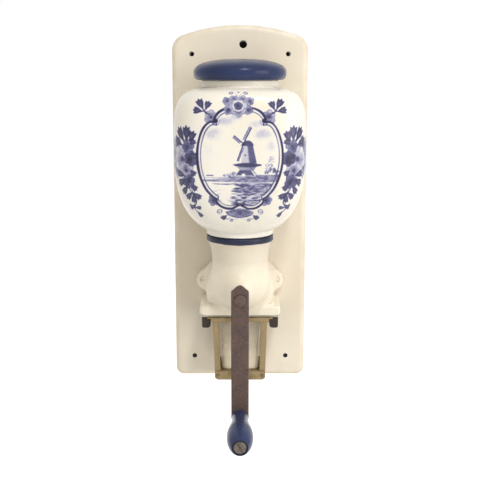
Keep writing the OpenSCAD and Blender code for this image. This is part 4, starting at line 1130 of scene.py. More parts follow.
    def side_bouquet(self, side: int) -> None:
        """Paints the tall bouquet on the side of the jar."""
        pen = self.sheet
        pen.stroke(self.mirrored(((44, 14), (47, 6), (50, -14), (46, -28), (42, -34)), side), 1.0)
        for s, t, *flower in (
                (62, -12, 9.4, 7, 0.2, 0.7, 0.2), (60, 8, 8.4, 7, 0.3, 0.8, 0.9),
                (52, -3.4, 13.2, 9, 0.1, 0.6, 0.25), (48, -13.4, 8.6, 7, 0.12, 0.7, 0.6),
                (46, 8.0, 6.4, 6, 0.5, 0.9, 0.1), (43.0, -2.6, 7.0, 6, 0.8, 1.0, 0.5),
                (45.6, -23.0, 6.8, 6, 0.62, 1.0, 0.3), (70, 0, 8.0, 7, 0.3, 0.8, 0.3)):
            pen.bloom((side * s, t), *flower, heart=0.17)
        self.leaves(side, (
            (44, 12, 39.8, 21.8, 6.6), (47, 12.4, 47.6, 26.6, 7.6), (50, 12, 58, 24.8, 7.6),
            (52, 8.6, 64, 14.8, 6.6), (44, 9.6, 38.2, 13.6, 4.8), (43.6, -13, 38.6, -17.4, 5.0),
            (50, -18, 61, -15.4, 6.4), (49, -21.4, 59.4, -26.4, 6.8), (47, -27, 53.4, -35.2, 6.0),
            (43, -26, 37.4, -30.6, 5.2), (68, 6, 74, 15, 6.4), (68, -8, 76, -14, 6.4)))

    def lower_sprays(self, side: int) -> None:
        """Paints the trailing sprig under the bouquet on one side."""
        pen = self.sheet
        pen.stroke(self.mirrored(((43, -29), (41, -36), (38.6, -42), (41, -48), (37, -53.4)), side), 0.95)
        self.leaves(side, ((41.6, -33, 33.6, -38.6, 5.2), (41.4, -33.6, 40.6, -43.4, 5.4),
                           (42.4, -32.6, 49.2, -39.6, 5.4), (39.4, -44, 46, -49.4, 3.6),
                           (40.4, -47.4, 33.8, -47.2, 3.4), (38.4, -51.4, 33.4, -57.6, 3.8)))
        pen.dot(side * 45.4, -45.2, 1.1)

    def shell(self) -> None:
        """Paints the hatched shell under the frame with its scrolls, leaves and curls."""
        pen = self.sheet
        angle = np.radians(np.linspace(188, 352, 30))
        rim = np.stack([12.4 * np.cos(angle), -49.4 + 7.4 * np.sin(angle)], 1)
        fan = np.vstack([rim, [(6, -48.2), (0, -46.8), (-6, -48.2)]])
        pen.patch(fan, 0.0, 0.0, Lay.LIFT)
        pen.patch(fan, 0.66, 0.6)
        for share in np.linspace(0.04, 0.96, 16):
            tip = rim[int(share * 29)]
            end = (tip[0] * 0.97, -49.4 + (tip[1] + 49.4) * 0.97)
            pen.stroke([(tip[0] * 0.25, -48.4), end], 0.5, 0.95, 0.3)
        pen.stroke(rim[::3], 0.8, 0.95, 0.2)
        pen.bloom((0, -51.4), 3.2, 5, 0.6, 1.0, 0.3, 0.3)
        for side in (-1, 1):
            stem = self.mirrored(((10.6, -54.2), (14.6, -54.6), (18.6, -53.0)), side, 0.1)
            pen.scroll(stem, 0.65, 2.7 * side)
            pen.leaf((side * 11.6, -54.6), (side * 16.6, -59.0), 4.6)
            pen.scroll(self.mirrored(((1, -57.8), (4, -59.0), (7, -58.4)), side, 0.1), 0.6, -1.7 * side)
            pen.stroke(self.mirrored(((8.6, -57.0), (10.6, -58.6), (12.4, -57.4)), side, 0.1), 0.6, 0.9)


@dataclass
class HopperJar:
    """The ceramic bean jar: rounded square rings between a round foot and a round neck."""

    half_w: float = 59.5
    half_d: float = 50.0
    back: float = 48.0
    foot_z: float = -13.9
    foot_h: float = 4.0
    foot_r: float = 31.0
    hole_r: float = 24.5
    belly_z: float = 62.3
    shoulder_z: float = 118.3
    shoulder_r: float = 43.0
    neck_r: float = 35.0
    rim_z: float = 126.3
    wall: float = 4.5
    square: float = 3.8
    shoulder_full: float = 4.7
    lower_full: float = 2.5
    front_columns: int = 272
    back_columns: int = 42
    outer_rings: int = 252
    fine_half: float = 70.0
    coarse: int = 18
    ink_half: float = 88.0
    ink_low: float = -78.0

    def curve(self, half_w: float, end_r: float, height: float, full: float) -> np.ndarray:
        """Gives half width and rise from the belly to an end, on |w / a|^n + |h / b|^n = 1."""
        end = math.acos((end_r / half_w) ** (full / 2))
        scale = height / math.sin(end) ** (2 / full)
        a = np.linspace(0, 1, 160) ** 1.6 * end
        return np.stack([half_w * np.cos(a) ** (2 / full), scale * np.sin(a) ** (2 / full)], axis=1)

    def rings(self, rows: np.ndarray, half_w: float, half_d: float, low_r: float, high_r: float,
              back: float, phi: np.ndarray) -> np.ndarray:
        """Builds rounded square rings.

        The reach at an angle phi from the front is (|sin phi / a|^n + |cos phi / b|^n)^(-1/n). Width a,
        depth b and squareness n run from a circle at the foot or neck to their full values at the belly.

        Args:
            rows: half width and height of each ring.
            half_w: half width at the belly.
            half_d: half depth at the belly.
            low_r: radius under which a lower ring is round.
            high_r: radius under which an upper ring is round.
            back: how far back the flat back lies from the axis.
            phi: angle of each column.

        Returns:
            Points, rings by columns by 3.
        """
        w, z = rows[:, :1], rows[:, 1:]
        round_r = np.where(z < self.belly_z, low_r, high_r)
        k = ((w - round_r) / (half_w - round_r)).clip(0, 1)
        b = np.where(w <= round_r, w, round_r + k * (half_d - round_r))
        n = 2 + (self.square - 2) * k
        sin, cos = np.abs(np.sin(phi)), np.abs(np.cos(phi))
        reach = ((sin / w) ** n + (cos / b) ** n) ** (-1 / n)
        depth = np.maximum(reach * np.cos(phi), -back)
        return np.stack([reach * np.sin(phi), THROAT_D + depth, np.broadcast_to(z, reach.shape)], axis=-1)

    def build(self, glaze: Material, painting: Brushwork) -> None:
        """Builds the jar with its ink.

        Args:
            glaze: the finish.
            painting: the sheet of ink.
        """
        wide, every = math.radians(self.fine_half), self.coarse
        phi = np.concatenate([np.linspace(-wide, wide, self.front_columns),
                              np.linspace(wide, 2 * math.pi - wide, self.back_columns)[1:-1]])
        low = self.curve(self.half_w, self.foot_r, self.belly_z - self.foot_z - self.foot_h, self.lower_full)
        high = self.curve(self.half_w, self.shoulder_r, self.shoulder_z - self.belly_z, self.shoulder_full)
        low[:, 1], high[:, 1] = self.belly_z - low[:, 1], self.belly_z + high[:, 1]
        body = np.vstack([low[::-1], high[1:]])
        way = np.concatenate([[0], np.cumsum(np.linalg.norm(np.diff(body, axis=0), axis=1))])
        even = np.linspace(0, way[-1], self.outer_rings)
        body = np.stack([np.interp(even, way, body[:, i]) for i in (0, 1)], axis=1)
        up = even - np.interp(self.belly_z, body[:, 1], even)
        foot = rounded([(self.hole_r, self.foot_z), (self.foot_r, self.foot_z), tuple(body[0])], 0.8,
                       closed=False)
        neck = rounded([tuple(body[-1]), (self.neck_r, self.shoulder_z + 1.4), (self.neck_r, self.rim_z),
                        (self.neck_r - self.wall, self.rim_z), (self.neck_r - self.wall, self.rim_z - 6)],
                       [0, 2.4, 1.4, 1.4, 0], closed=False)
        in_w, in_d = self.half_w - self.wall, self.half_d - self.wall
        in_low = self.curve(in_w, self.hole_r, self.belly_z - self.foot_z - self.foot_h - self.wall,
                            self.lower_full)
        in_high = self.curve(in_w, self.neck_r - self.wall, self.shoulder_z - self.belly_z - self.wall + 3,
                             self.shoulder_full)
        in_high, in_low = in_high[::-every], in_low[every::every]
        hollow = np.vstack([np.stack([in_high[:, 0], self.belly_z + in_high[:, 1]], axis=1),
                            np.stack([in_low[:, 0], self.belly_z - in_low[:, 1]], axis=1)])
        outer = self.rings(np.vstack([foot[:-1], body, neck[1:]]), self.half_w, self.half_d, self.foot_r,
                           self.neck_r, self.back, phi)
        inner = self.rings(hollow, in_w, in_d, self.hole_r, self.neck_r - self.wall,
                           self.back - self.wall, phi)
        step = np.linalg.norm(np.diff(outer[..., :2], axis=1), axis=-1)
        along = np.concatenate([np.zeros((len(outer), 1)), np.cumsum(step, axis=1)], axis=1)
        middle = along[:, [self.front_columns // 2]] - step[:, [self.front_columns // 2 - 1]] / 2
        across = along - middle
        height = np.full(len(outer), -200.0)
        height[len(foot) - 1:len(foot) - 1 + len(body)] = up
        ink = painting.read(across, np.broadcast_to(height[:, None], across.shape))
        ink[(np.abs(across) > self.ink_half) | (height[:, None] < self.ink_low)] = 0.0
        skin = grid_skin(np.concatenate([outer, inner]), closed=True,
                         marks={"ink": np.concatenate([ink, np.zeros(inner.shape[:2])])})
        make_piece(Badge("bean_jar", glaze, "mill", "jar_glaze", ("hopper_jar",)), skin, 60)


@dataclass
class Lid:
    """The low domed lid with its plug."""

    radius: float = 41.9
    seat_r: float = 38.0
    seat_z: float = 126.3
    edge_h: float = 6.0
    height: float = 18.5
    full: float = 2.5
    plug_r: float = 29.8
    plug_h: float = 7.0

    def build(self, lacquer: Material) -> None:
        """Turns the lid: over a quarter round edge, the dome follows |r / a|^n + |h / b|^n = 1."""
        a = np.radians(np.linspace(-90, 0, 13))
        edge = np.stack([self.seat_r + (self.radius - self.seat_r) * np.cos(a),
                         self.edge_h * (1 + np.sin(a))], 1)
        a = np.radians(np.linspace(0, 90, 46))[1:]
        power = 2 / self.full
        dome = np.stack([self.radius * np.cos(a).clip(0) ** power,
                         self.edge_h + (self.height - self.edge_h) * np.sin(a) ** power], 1)
        plug = rounded([(0, -self.plug_h), (self.plug_r, -self.plug_h), (self.plug_r, 0), (self.seat_r, 0)],
                       [0, 1.2, 0.5, 0], closed=False)
        profile = np.vstack([plug[:-1], edge, dome])
        profile[-1, 0] = 0.0
        profile[:, 1] += self.seat_z
        skin = turned(profile, (0, THROAT_D), Axis.UP, 144)
        make_piece(Badge("jar_lid", lacquer, "lid", "lid_paint", ("lid",)), skin)


@dataclass
class BackBoard:
    """The arched board with its screw holes and hanging hole."""

    half_w: float = 65.0
    low_z: float = -171.0
    high_z: float = 177.0
    arch_r: float = 165.0
    top_r: float = 15.0
    low_r: float = 8.0
    edge_r: float = 5.0
    wall_x: float = 46.0
    wall_z: float = 150.0
    wall_r: float = 2.2
    hang: tuple[float, float, float] = (3.0, 159.0, 3.5)

    def outline(self) -> np.ndarray:
        """Gives the outline: straight sides, round corners and an arc for the top."""
        arch_z = self.high_z - self.arch_r
        corner_x = self.half_w - self.top_r
        corner_z = arch_z + math.sqrt((self.arch_r - self.top_r) ** 2 - corner_x ** 2)
        lean = math.degrees(math.atan2(corner_z - arch_z, corner_x))
        foot_x, foot_z = self.half_w - self.low_r, self.low_z + self.low_r
        return np.vstack([arc(foot_x, foot_z, self.low_r, -90, 0, 12),
                          np.stack([np.full(20, self.half_w), np.linspace(foot_z + 6, corner_z - 6, 20)], 1),
                          arc(corner_x, corner_z, self.top_r, 0, lean, 14),
                          arc(0, arch_z, self.arch_r, lean + 0.6, 179.4 - lean, 60),
                          arc(-corner_x, corner_z, self.top_r, 180 - lean, 180, 14),
                          np.stack([np.full(20, -self.half_w), np.linspace(corner_z - 6, foot_z + 6, 20)], 1),
                          arc(-foot_x, foot_z, self.low_r, 180, 270, 12)])

    def build(self, paint: Material) -> None:
        """Builds the board with its five holes."""
        bores = [(x, z, self.wall_r) for x in (-self.wall_x, self.wall_x)
                 for z in (-self.wall_z, self.wall_z)]
        holes = [Hole(circle(*bore), 0.4) for bore in bores] + [Hole(circle(*self.hang), 0.7)]
        skin = plate(self.outline(), 0.0, FRONT_D, (0.4, self.edge_r), holes)
        x, d, z = skin.points.T
        near = np.min([np.hypot(x - at_x, z - at_z) - r for at_x, at_z, r in bores + [self.hang]], axis=0)
        # marks the walls of the holes, which the paint turns near black as painted shade
        skin.marks["bore"] = ((near < 0.15) & (d < FRONT_D - 0.15)).astype(float)
        make_piece(Badge("board", paint, "mill", "board_paint", ("back_board",)), skin)


def soft_min(first: np.ndarray, second: np.ndarray, blend: float) -> np.ndarray:
    """Joins two distance fields with a round fillet: the lower one, less k h (1 - h) in between."""
    h = (0.5 + 0.5 * (second - first) / blend).clip(0, 1)
    return second + (first - second) * h - blend * h * (1 - h)


def soft_max(first: np.ndarray, second: np.ndarray, blend: float) -> np.ndarray:
    """Cuts one distance field by another with a rounded edge."""
    return -soft_min(-first, -second, blend)


@dataclass
class MillCasting:
    """The cast grinder body, whose forms run into each other with cast fillets."""

    voxel: float = 0.9
    collar_z: float = -14.9
    collar_r: float = 30.9
    collar_h: float = 5.4
    throat_r: float = 26.1
    throat_low: float = -41.7
    ball_z: float = -57.0
    ball_r: float = 27.6
    nose_root: tuple[float, float] = (76.0, 20.0)
    hub: tuple[float, float, float] = (100.0, 112.0, 8.2)
    housing: tuple[float, float, float] = (30.4, 63.0, 10.0)
    flange: tuple[float, float, float, float] = (38.4, -94.6, -85.6, 66.0)
    ear: tuple[float, float, float, float] = (35.5, -68.4, 9.0, 28.3)
    stand_half: float = 29.6
    skin_depth: float = 6.0
    facing: float = 0.3
    first_steps: int = 8
    rounds: int = 4
    round_steps: int = 3
    stride: float = 1.5
    probe: float = 0.05
    crevice: tuple[float, float] = (1.5, 5.0)

    def box(self, p: np.ndarray, low: Sequence[float], high: Sequence[float], edge: float) -> np.ndarray:
        """Gives the distance to a box with rounded edges."""
        mid, half = (np.array(low) + np.array(high)) / 2, (np.array(high) - np.array(low)) / 2
        q = np.abs(p - mid) - half + edge
        return np.linalg.norm(q.clip(0), axis=1) + np.minimum(q.max(axis=1), 0) - edge

    def drum(self, radial: np.ndarray, along: np.ndarray, radius: float, span: tuple[float, float],
             edge: float) -> np.ndarray:
        """Gives the distance to a cylinder with rounded edges."""
        mid, half = (span[0] + span[1]) / 2, (span[1] - span[0]) / 2
        q = np.stack([radial - radius + edge, np.abs(along - mid) - half + edge], axis=1)
        return np.linalg.norm(q.clip(0), axis=1) + np.minimum(q.max(axis=1), 0) - edge

    def field(self, p: np.ndarray) -> np.ndarray:
        """Gives the distance to the outside of the casting, below 0 within it.

        Args:
            p: points in millimetres.

        Returns:
            The blended distance at each point.
        """
        x, d, z = p.T
        about_throat, about_shaft = np.hypot(x, d - THROAT_D), np.hypot(x, z - SHAFT_Z)
        neck_top = self.collar_z - self.collar_h
        u = ((neck_top - z) / (neck_top - self.throat_low)).clip(0, 1)
        waist = self.throat_r + (self.collar_r - self.throat_r - 0.6) * (1 - u) ** 2.6
        throat = soft_max(about_throat - waist, np.maximum(z - neck_top - 2, self.ball_z - z), 1.0)
        collar = self.drum(about_throat, z, self.collar_r, (neck_top, self.collar_z), 1.3)
        ball = np.sqrt(x ** 2 + (d - THROAT_D) ** 2 + (z - self.ball_z) ** 2) - self.ball_r
        front = soft_min(soft_min(throat, collar, 1.6), ball, 3.5)
        back = FRONT_D - 8
        house = self.drum(about_shaft, d, self.housing[0], (back, self.housing[1]), self.housing[2])
        shape = soft_min(soft_min(front, house, 6.0), self.ears(x, d, z), 8.0)
        run = ((d - self.nose_root[0]) / (self.hub[0] - self.nose_root[0])).clip(0, 1)
        lean = self.hub[2] + (self.nose_root[1] - self.hub[2]) * (1 + np.cos(math.pi * run)) / 2
        nose = soft_max((about_shaft - lean) * 0.9, np.maximum(d - self.hub[1], 40 - d), 1.2)
        shape = soft_min(shape, nose, 14.0)
        wide, low, high, reach = self.flange
        half = self.stand_half
        body = self.box(p, (-half, back, low + 2), (half, reach - 5, SHAFT_Z - 5), 6.0)
        shape = soft_min(shape, body, 13.0)
        foot = self.box(p, (-wide, back, low - 4), (wide, reach, high), 2.2)
        return soft_min(shape, np.maximum(foot, low - z), 5.0)

    def ears(self, x: np.ndarray, d: np.ndarray, z: np.ndarray) -> np.ndarray:
        """Gives the distance to the two ears: a gusset grown by the ear's radius and cut at its front."""
        ear_x, ear_z, ear_r, ear_d = self.ear
        gusset = np.array([(14, -56), (27, -60.4), (ear_x, ear_z + 2.4), (ear_x, ear_z - 2.6), (28, -72),
                           (14, -72)])
        edge = np.roll(gusset, -1, axis=0) - gusset
        q = np.stack([np.abs(x), z], axis=1)
        off = q[:, None] - gusset
        share = ((off * edge).sum(-1) / (edge ** 2).sum(-1)).clip(0, 1)
        near = np.linalg.norm(off - edge * share[..., None], axis=-1).min(axis=1)
        flat = np.where(inside(q, [gusset]), -near, near) - (ear_r - 2.6)
        return soft_max(flat, d - ear_d, 2.6)

    @staticmethod
    def rows(items: bpy.types.bpy_prop_collection, key: str, size: int, kind: type) -> np.ndarray:
        """Reads a row of numbers from each element of a mesh."""
        found = np.empty((len(items), size), kind)
        items.foreach_get(key, found.ravel())
        return found

    def build(self, enamel: Material) -> None:
        """Builds the casting: the solid's mesh in even cells, its outside drawn onto the blended field."""
        rough = new_object("rough_casting", node_mesh("mill_casting"))
        cells = rough.modifiers.new("even cells", "REMESH")
        cells.mode = "VOXEL"
        cells.voxel_size = self.voxel * MM
        even = bpy.data.meshes.new_from_object(rough.evaluated_get(bpy.context.evaluated_depsgraph_get()))
        bpy.data.objects.remove(rough)
        count = len(even.vertices)
        p = self.rows(even.vertices, "co", 3, np.float32).astype(float) / MM * FLIP
        normal = self.rows(even.vertices, "normal", 3, np.float32) * FLIP
        before, slope = self.sample(p)
        outer = (before > -self.skin_depth) & ((normal * slope).sum(axis=1) > self.facing)
        p[outer] = self.settle(p[outer], self.first_steps)
        ends = self.rows(even.edges, "vertices", 2, np.int32).T
        degree = np.bincount(ends.ravel(), minlength=count)[:, None]
        for _ in range(self.rounds):
            near = sum(np.stack([np.bincount(a, p[b, k], count) for k in range(3)], axis=1)
                       for a, b in (ends, ends[::-1])) / degree
            p[outer] = self.settle(((p + near) / 2)[outer], self.round_steps)
        p[:, 2] = p[:, 2].clip(self.flange[1], self.collar_z)
        p[:, 1] = p[:, 1].clip(FRONT_D, self.hub[1])
        even.vertices.foreach_set("co", (p * FLIP * MM).astype(np.float32).ravel())
        start, rise = self.crevice
        add_mark(even, "crevice", np.where(outer, ((-before - start) / rise).clip(0, 1), 0.0))
        smooth(even, 180.0)
        place(even, Badge("casting", enamel, "mill", "casting_paint", ("mill_casting",)))

    def settle(self, p: np.ndarray, steps: int) -> np.ndarray:
        """Draws points onto the field's zero in a few steps along its slope."""
        for _ in range(steps):
            value, slope = self.sample(p)
            p = p - slope * value[:, None].clip(-self.stride, self.stride)
        return p

    def sample(self, p: np.ndarray) -> tuple[np.ndarray, np.ndarray]:
        """Gives the field and its unit slope at points, by differences over a small step each way."""
        value = self.field(p)
        steps = np.eye(3) * self.probe
        slope = np.stack([(self.field(p + s) - self.field(p - s)) / (2 * self.probe) for s in steps],
                         axis=1)
        return value, slope / np.linalg.norm(slope, axis=1, keepdims=True).clip(1e-6)


@dataclass
class Crank:
    """The flat arm, its domed nut and the knob on its screw."""

    half_w: float = 7.85
    back_d: float = 124.0
    front_d: float = 128.5
    tip_z: float = -50.0
    tip_r: float = 4.0
    slope: float = 40.0
    shoulder_r: float = 1.4
    dome_r: float = 5.3
    dome_h: float = 3.4
    dome_foot: float = 1.4
    knob_d: tuple[float, float] = (129.6, 194.1)
    neck_r: float = 7.3
    belly_r: float = 11.3
    end_r: float = 6.9
    belly_at: float = 0.64
    bore_r: float = 3.26
    sink_r: float = 6.35
    sink: float = 2.6

    def build(self, iron: Material, head: Material, lacquer: Material,
              shaft_end: Material) -> None:
        """Builds arm, nut, knob and screw.

        Args:
            iron: finish of the arm.
            head: finish of the knob's screw.
            lacquer: finish of the knob.
            shaft_end: finish of the domed nut.
        """
        lean = math.radians(self.slope)
        mid = self.tip_z - self.tip_r
        drop = (self.half_w - self.tip_r * math.sin(lean)) * math.tan(lean)
        shoulder = mid + self.tip_r * math.cos(lean) - drop
        top = arc(0, mid, self.tip_r, 90 - self.slope, 90 + self.slope, 10)
        right = rounded([(self.half_w, shoulder - 1.5), (self.half_w, shoulder), tuple(top[0])],
                        self.shoulder_r, closed=False)[1:-1]
        left = rounded([tuple(top[-1]), (-self.half_w, shoulder), (-self.half_w, shoulder - 1.5)],
                       self.shoulder_r, closed=False)[1:-1]
        outline = np.vstack([arc(0, KNOB_Z, self.half_w, 180, 360, 40),
                             [(self.half_w, z) for z in np.linspace(KNOB_Z + 6, shoulder - 2, 16)],
                             right, top, left,
                             [(-self.half_w, z) for z in np.linspace(shoulder - 2, KNOB_Z + 6, 16)]])
        arm = plate(outline, self.back_d, self.front_d, (0.9, 1.1))
        make_piece(Badge("crank_bar", iron, "crank", "crank_iron", ("crank_arm",)), arm)
        a = np.radians(np.linspace(0, 90, 16))
        rise = self.dome_foot + (self.dome_h - self.dome_foot) * np.sin(a)
        dome = np.stack([self.dome_r * np.cos(a), self.front_d + rise], 1)
        dome[-1, 0] = 0.0
        nut = np.vstack([[(0, self.front_d), (self.dome_r, self.front_d)], dome])
        make_piece(Badge("shaft_end", shaft_end, "crank", "crank_iron", ("crank_nut",)),
                   turned(nut, (0, SHAFT_Z), Axis.DEPTH, 64))
        make_piece(Badge("grip", lacquer, "knob", "knob_paint", ("crank_knob",)),
                   turned(self.grip_profile(), (0, KNOB_Z), Axis.DEPTH, closed=True))
        eased_copy(Badge("grip_screw", head, "crank", "screw_steel", ("knob_screw",)), 0.25)

    def grip_profile(self) -> np.ndarray:
        """Gives the knob's closed profile: a cosine swell to the belly, a round end and the screw's sink."""
        low, high = self.knob_d
        t = np.linspace(0, self.belly_at, 40)
        rise = (1 - np.cos(math.pi * (t / self.belly_at) ** 1.4)) / 2
        swell = self.neck_r + (self.belly_r - self.neck_r) * rise
        s = self.belly_at + (1 - self.belly_at) * np.sin(np.radians(np.linspace(0, 90, 40)))[1:]
        share = ((s - self.belly_at) / (1 - self.belly_at)).clip(0, 1)
        close = self.end_r + (self.belly_r - self.end_r) * (1 - share ** 2.6).clip(0) ** 0.9
        outer = np.stack([np.concatenate([swell, close]), low + (high - low) * np.concatenate([t, s])], 1)
        outer[0, 1] += 0.5
        inner = rounded([tuple(outer[-1]), (self.sink_r, high), (self.sink_r, high - self.sink),
                         (self.bore_r, high - self.sink), (self.bore_r, low), (self.neck_r - 0.5, low)],
                        [0, 0.5, 0.4, 0.3, 0.3, 0], closed=False)
        return np.vstack([outer, inner[1:]])


@dataclass
class CupHolder:
    """The brass holder on its rails, and the glass in it."""

    cup_d: float = 43.6
    floor_z: float = -149.7
    top_z: float = -99.3
    mouth: float = 20.9
    foot: float = 18.0
    wall: float = 2.4
    floor: float = 4.5
    squareness: float = 7.0
    bead: float = 3.0
    # where and how wide the painted highlight lines lie near the glass's front corners
    highlight_at: float = 0.965
    highlight_width: float = 0.025

    def glass_rings(self, profile: np.ndarray, sides: int = 112) -> np.ndarray:
        """Builds rounded square rings: x is a sgn(c) |c|^(2/n), and the depth likewise with s."""
        angle = np.arange(sides) * 2 * math.pi / sides
        c, s = np.cos(angle), np.sin(angle)
        power = 2 / self.squareness
        x = profile[:, :1] * np.sign(c) * np.abs(c) ** power
        d = self.cup_d + profile[:, :1] * np.sign(s) * np.abs(s) ** power
        return np.stack([x, d, np.broadcast_to(self.floor_z + profile[:, 1:], x.shape)], axis=-1)

    def build(self, brass: Material, rivet: Material, iron: Material,
              glass: Material) -> None:
        """Builds sheets, rivets, rails and glass.

        Args:
            brass: finish of the sheets.
            rivet: finish of the rivets.
            iron: finish of the rails.
            glass: finish of the cup.
        """
        for node, name, ease in (("holder_plate", "top_plate", 0.35), ("holder_side_left", "side_left", 0.3),
                                 ("holder_side_right", "side_right", 0.3), ("holder_tray", "tray", 0.4)):
            eased_copy(Badge(name, brass, "cup_holder", "brass_sheet", (node,)), ease)
        eased_copy(Badge("rivets", rivet, "cup_holder", "brass_sheet", ("holder_rivets",)), 0.12)
        for side in ("left", "right"):
            eased_copy(Badge(f"rail_{side}", iron, "mill", "rail_iron", (f"cup_rail_{side}",)), 0.6)
        h, bead = self.top_z - self.floor_z, self.bead
        outer = rounded([(0, 0.9), (self.foot - 4, 0.9), (self.foot - 4, 0), (self.foot, 0),
                         (self.mouth - 1, h - bead - 1.4), (self.mouth, h - bead), (self.mouth, h),
                         (self.mouth - self.wall, h), (self.mouth - self.wall - 0.9, h - bead - 2),
                         (self.foot - self.wall, self.floor), (0, self.floor)],
                        [0, 0.4, 0.4, 2.2, 1.2, 1.2, 1.1, 1.1, 2, 3.4, 0], 7, closed=False)
        rings = self.glass_rings(outer)
        half, high = outer[:, :1], outer[:, 1:]
        # painted highlight: lines near the front corners and along the foot, marked as edge
        corner = (np.abs(rings[..., 0]) / half.clip(1) - self.highlight_at) / self.highlight_width
        front = rings[..., 1] > self.cup_d + 8
        outside = np.arange(len(outer))[:, None] < np.argmax(high)
        line = np.exp(-corner ** 2) + np.exp(-((high - 1.6) / 1.0) ** 2) * (half > self.foot - 3)
        skin = grid_skin(rings, marks={"edge": (line * front * outside).clip(0, 1)})
        make_piece(Badge("cup", glass, "cup_holder", "cup_glass", ("glass_cup",)), skin, 60)


class Wardrobe:
    """All finishes of the mill, made once, and the nodes that keep their own shape."""

    def __init__(self) -> None:
        """Makes the materials of the scene's own pieces."""
        self.board = BoardPaint().material()
        self.glaze = Glaze().material()
        self.lid = Lacquer().material()
        self.knob = Lacquer("slate_blue_knob", srgb(48, 58, 93), srgb(40, 47, 76),
                            srgb(62, 70, 100)).material()
        self.enamel = CastEnamel().material()
        self.screw_paint = CastEnamel("cream_screw_paint", srgb(238, 229, 209), srgb(224, 211, 187),
                                      band_z=(-400.0, -390.0), soiled_d=29.0).material()
        self.crank = RustyIron("brown_crank_iron").material()
        self.shaft_end = RustyIron("worn_shaft_end", srgb(98, 82, 75), srgb(80, 68, 66), srgb(112, 78, 62),
                                   srgb(44, 36, 34)).material()
        self.screw_head = RustyIron("mottled_screw_steel", srgb(82, 74, 69), srgb(114, 107, 99),
                                    srgb(58, 46, 40), srgb(26, 22, 21), 300.0).material()
        self.rail = OldMetal("dark_rail_iron", srgb(60, 53, 47), srgb(42, 37, 33), 0.6, 0.4, 0.15).material()
        self.brass = OldMetal("dull_brass_sheet", srgb(150, 131, 97), srgb(118, 101, 73), 0.5, 0.35, 0.06,
                              (1.0, 1.0, 0.2)).material()
        self.rivet = OldMetal("dark_brass_rivet", srgb(124, 106, 77), srgb(88, 73, 52), 0.42, 0.65,
                              0.08).material()
        self.glass = PressedGlass().material()

    def dress_kept_nodes(self) -> None:
        """Gives the nodes that stay as they are their finishes."""
        plan = (
            (Fibrous("blue_felt", srgb(62, 64, 84), srgb(44, 45, 60)), ("jar_felt_ring",)),
            (Fibrous("red_fibre", srgb(120, 66, 50), srgb(88, 46, 36)), ("jar_washer",)),
            (OldMetal("screw_steel_bare", srgb(128, 124, 120), srgb(92, 84, 76), 0.4, 0.85),
             ("jar_screw", "rear_plate_screws", "ring_burr_screws", "rail_screws")),
            (OldMetal("bearing_bronze", srgb(164, 122, 76), srgb(112, 82, 52), 0.35, 0.9),
             ("front_bush", "rear_bush")),
            (OldMetal("dark_plate_iron", srgb(84, 78, 73), srgb(58, 52, 48), 0.55, 0.6),
             ("rear_plate", "adjusting_nut")),
            # the base plate, with its painted shade and painted highlight
            (PlateWithPaintedLight(), ("base_plate",)),
            (OldMetal("hard_burr_steel", srgb(112, 112, 114), srgb(72, 66, 62), 0.45, 0.85),
             ("ring_burr", "cone_burr")),
            (OldMetal("bright_shaft_steel", srgb(172, 168, 162), srgb(120, 112, 104), 0.3, 0.95),
             ("drive_shaft", "burr_pin", "burr_spring", "thrust_washer", "knob_washer")),
        )
        for finish, nodes in plan:
            material = finish.material()
            for node in nodes:
                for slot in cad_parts[node].material_slots:
                    slot.material = material
                LOG.info("%s keeps its shape, finish %s", node, finish.name)


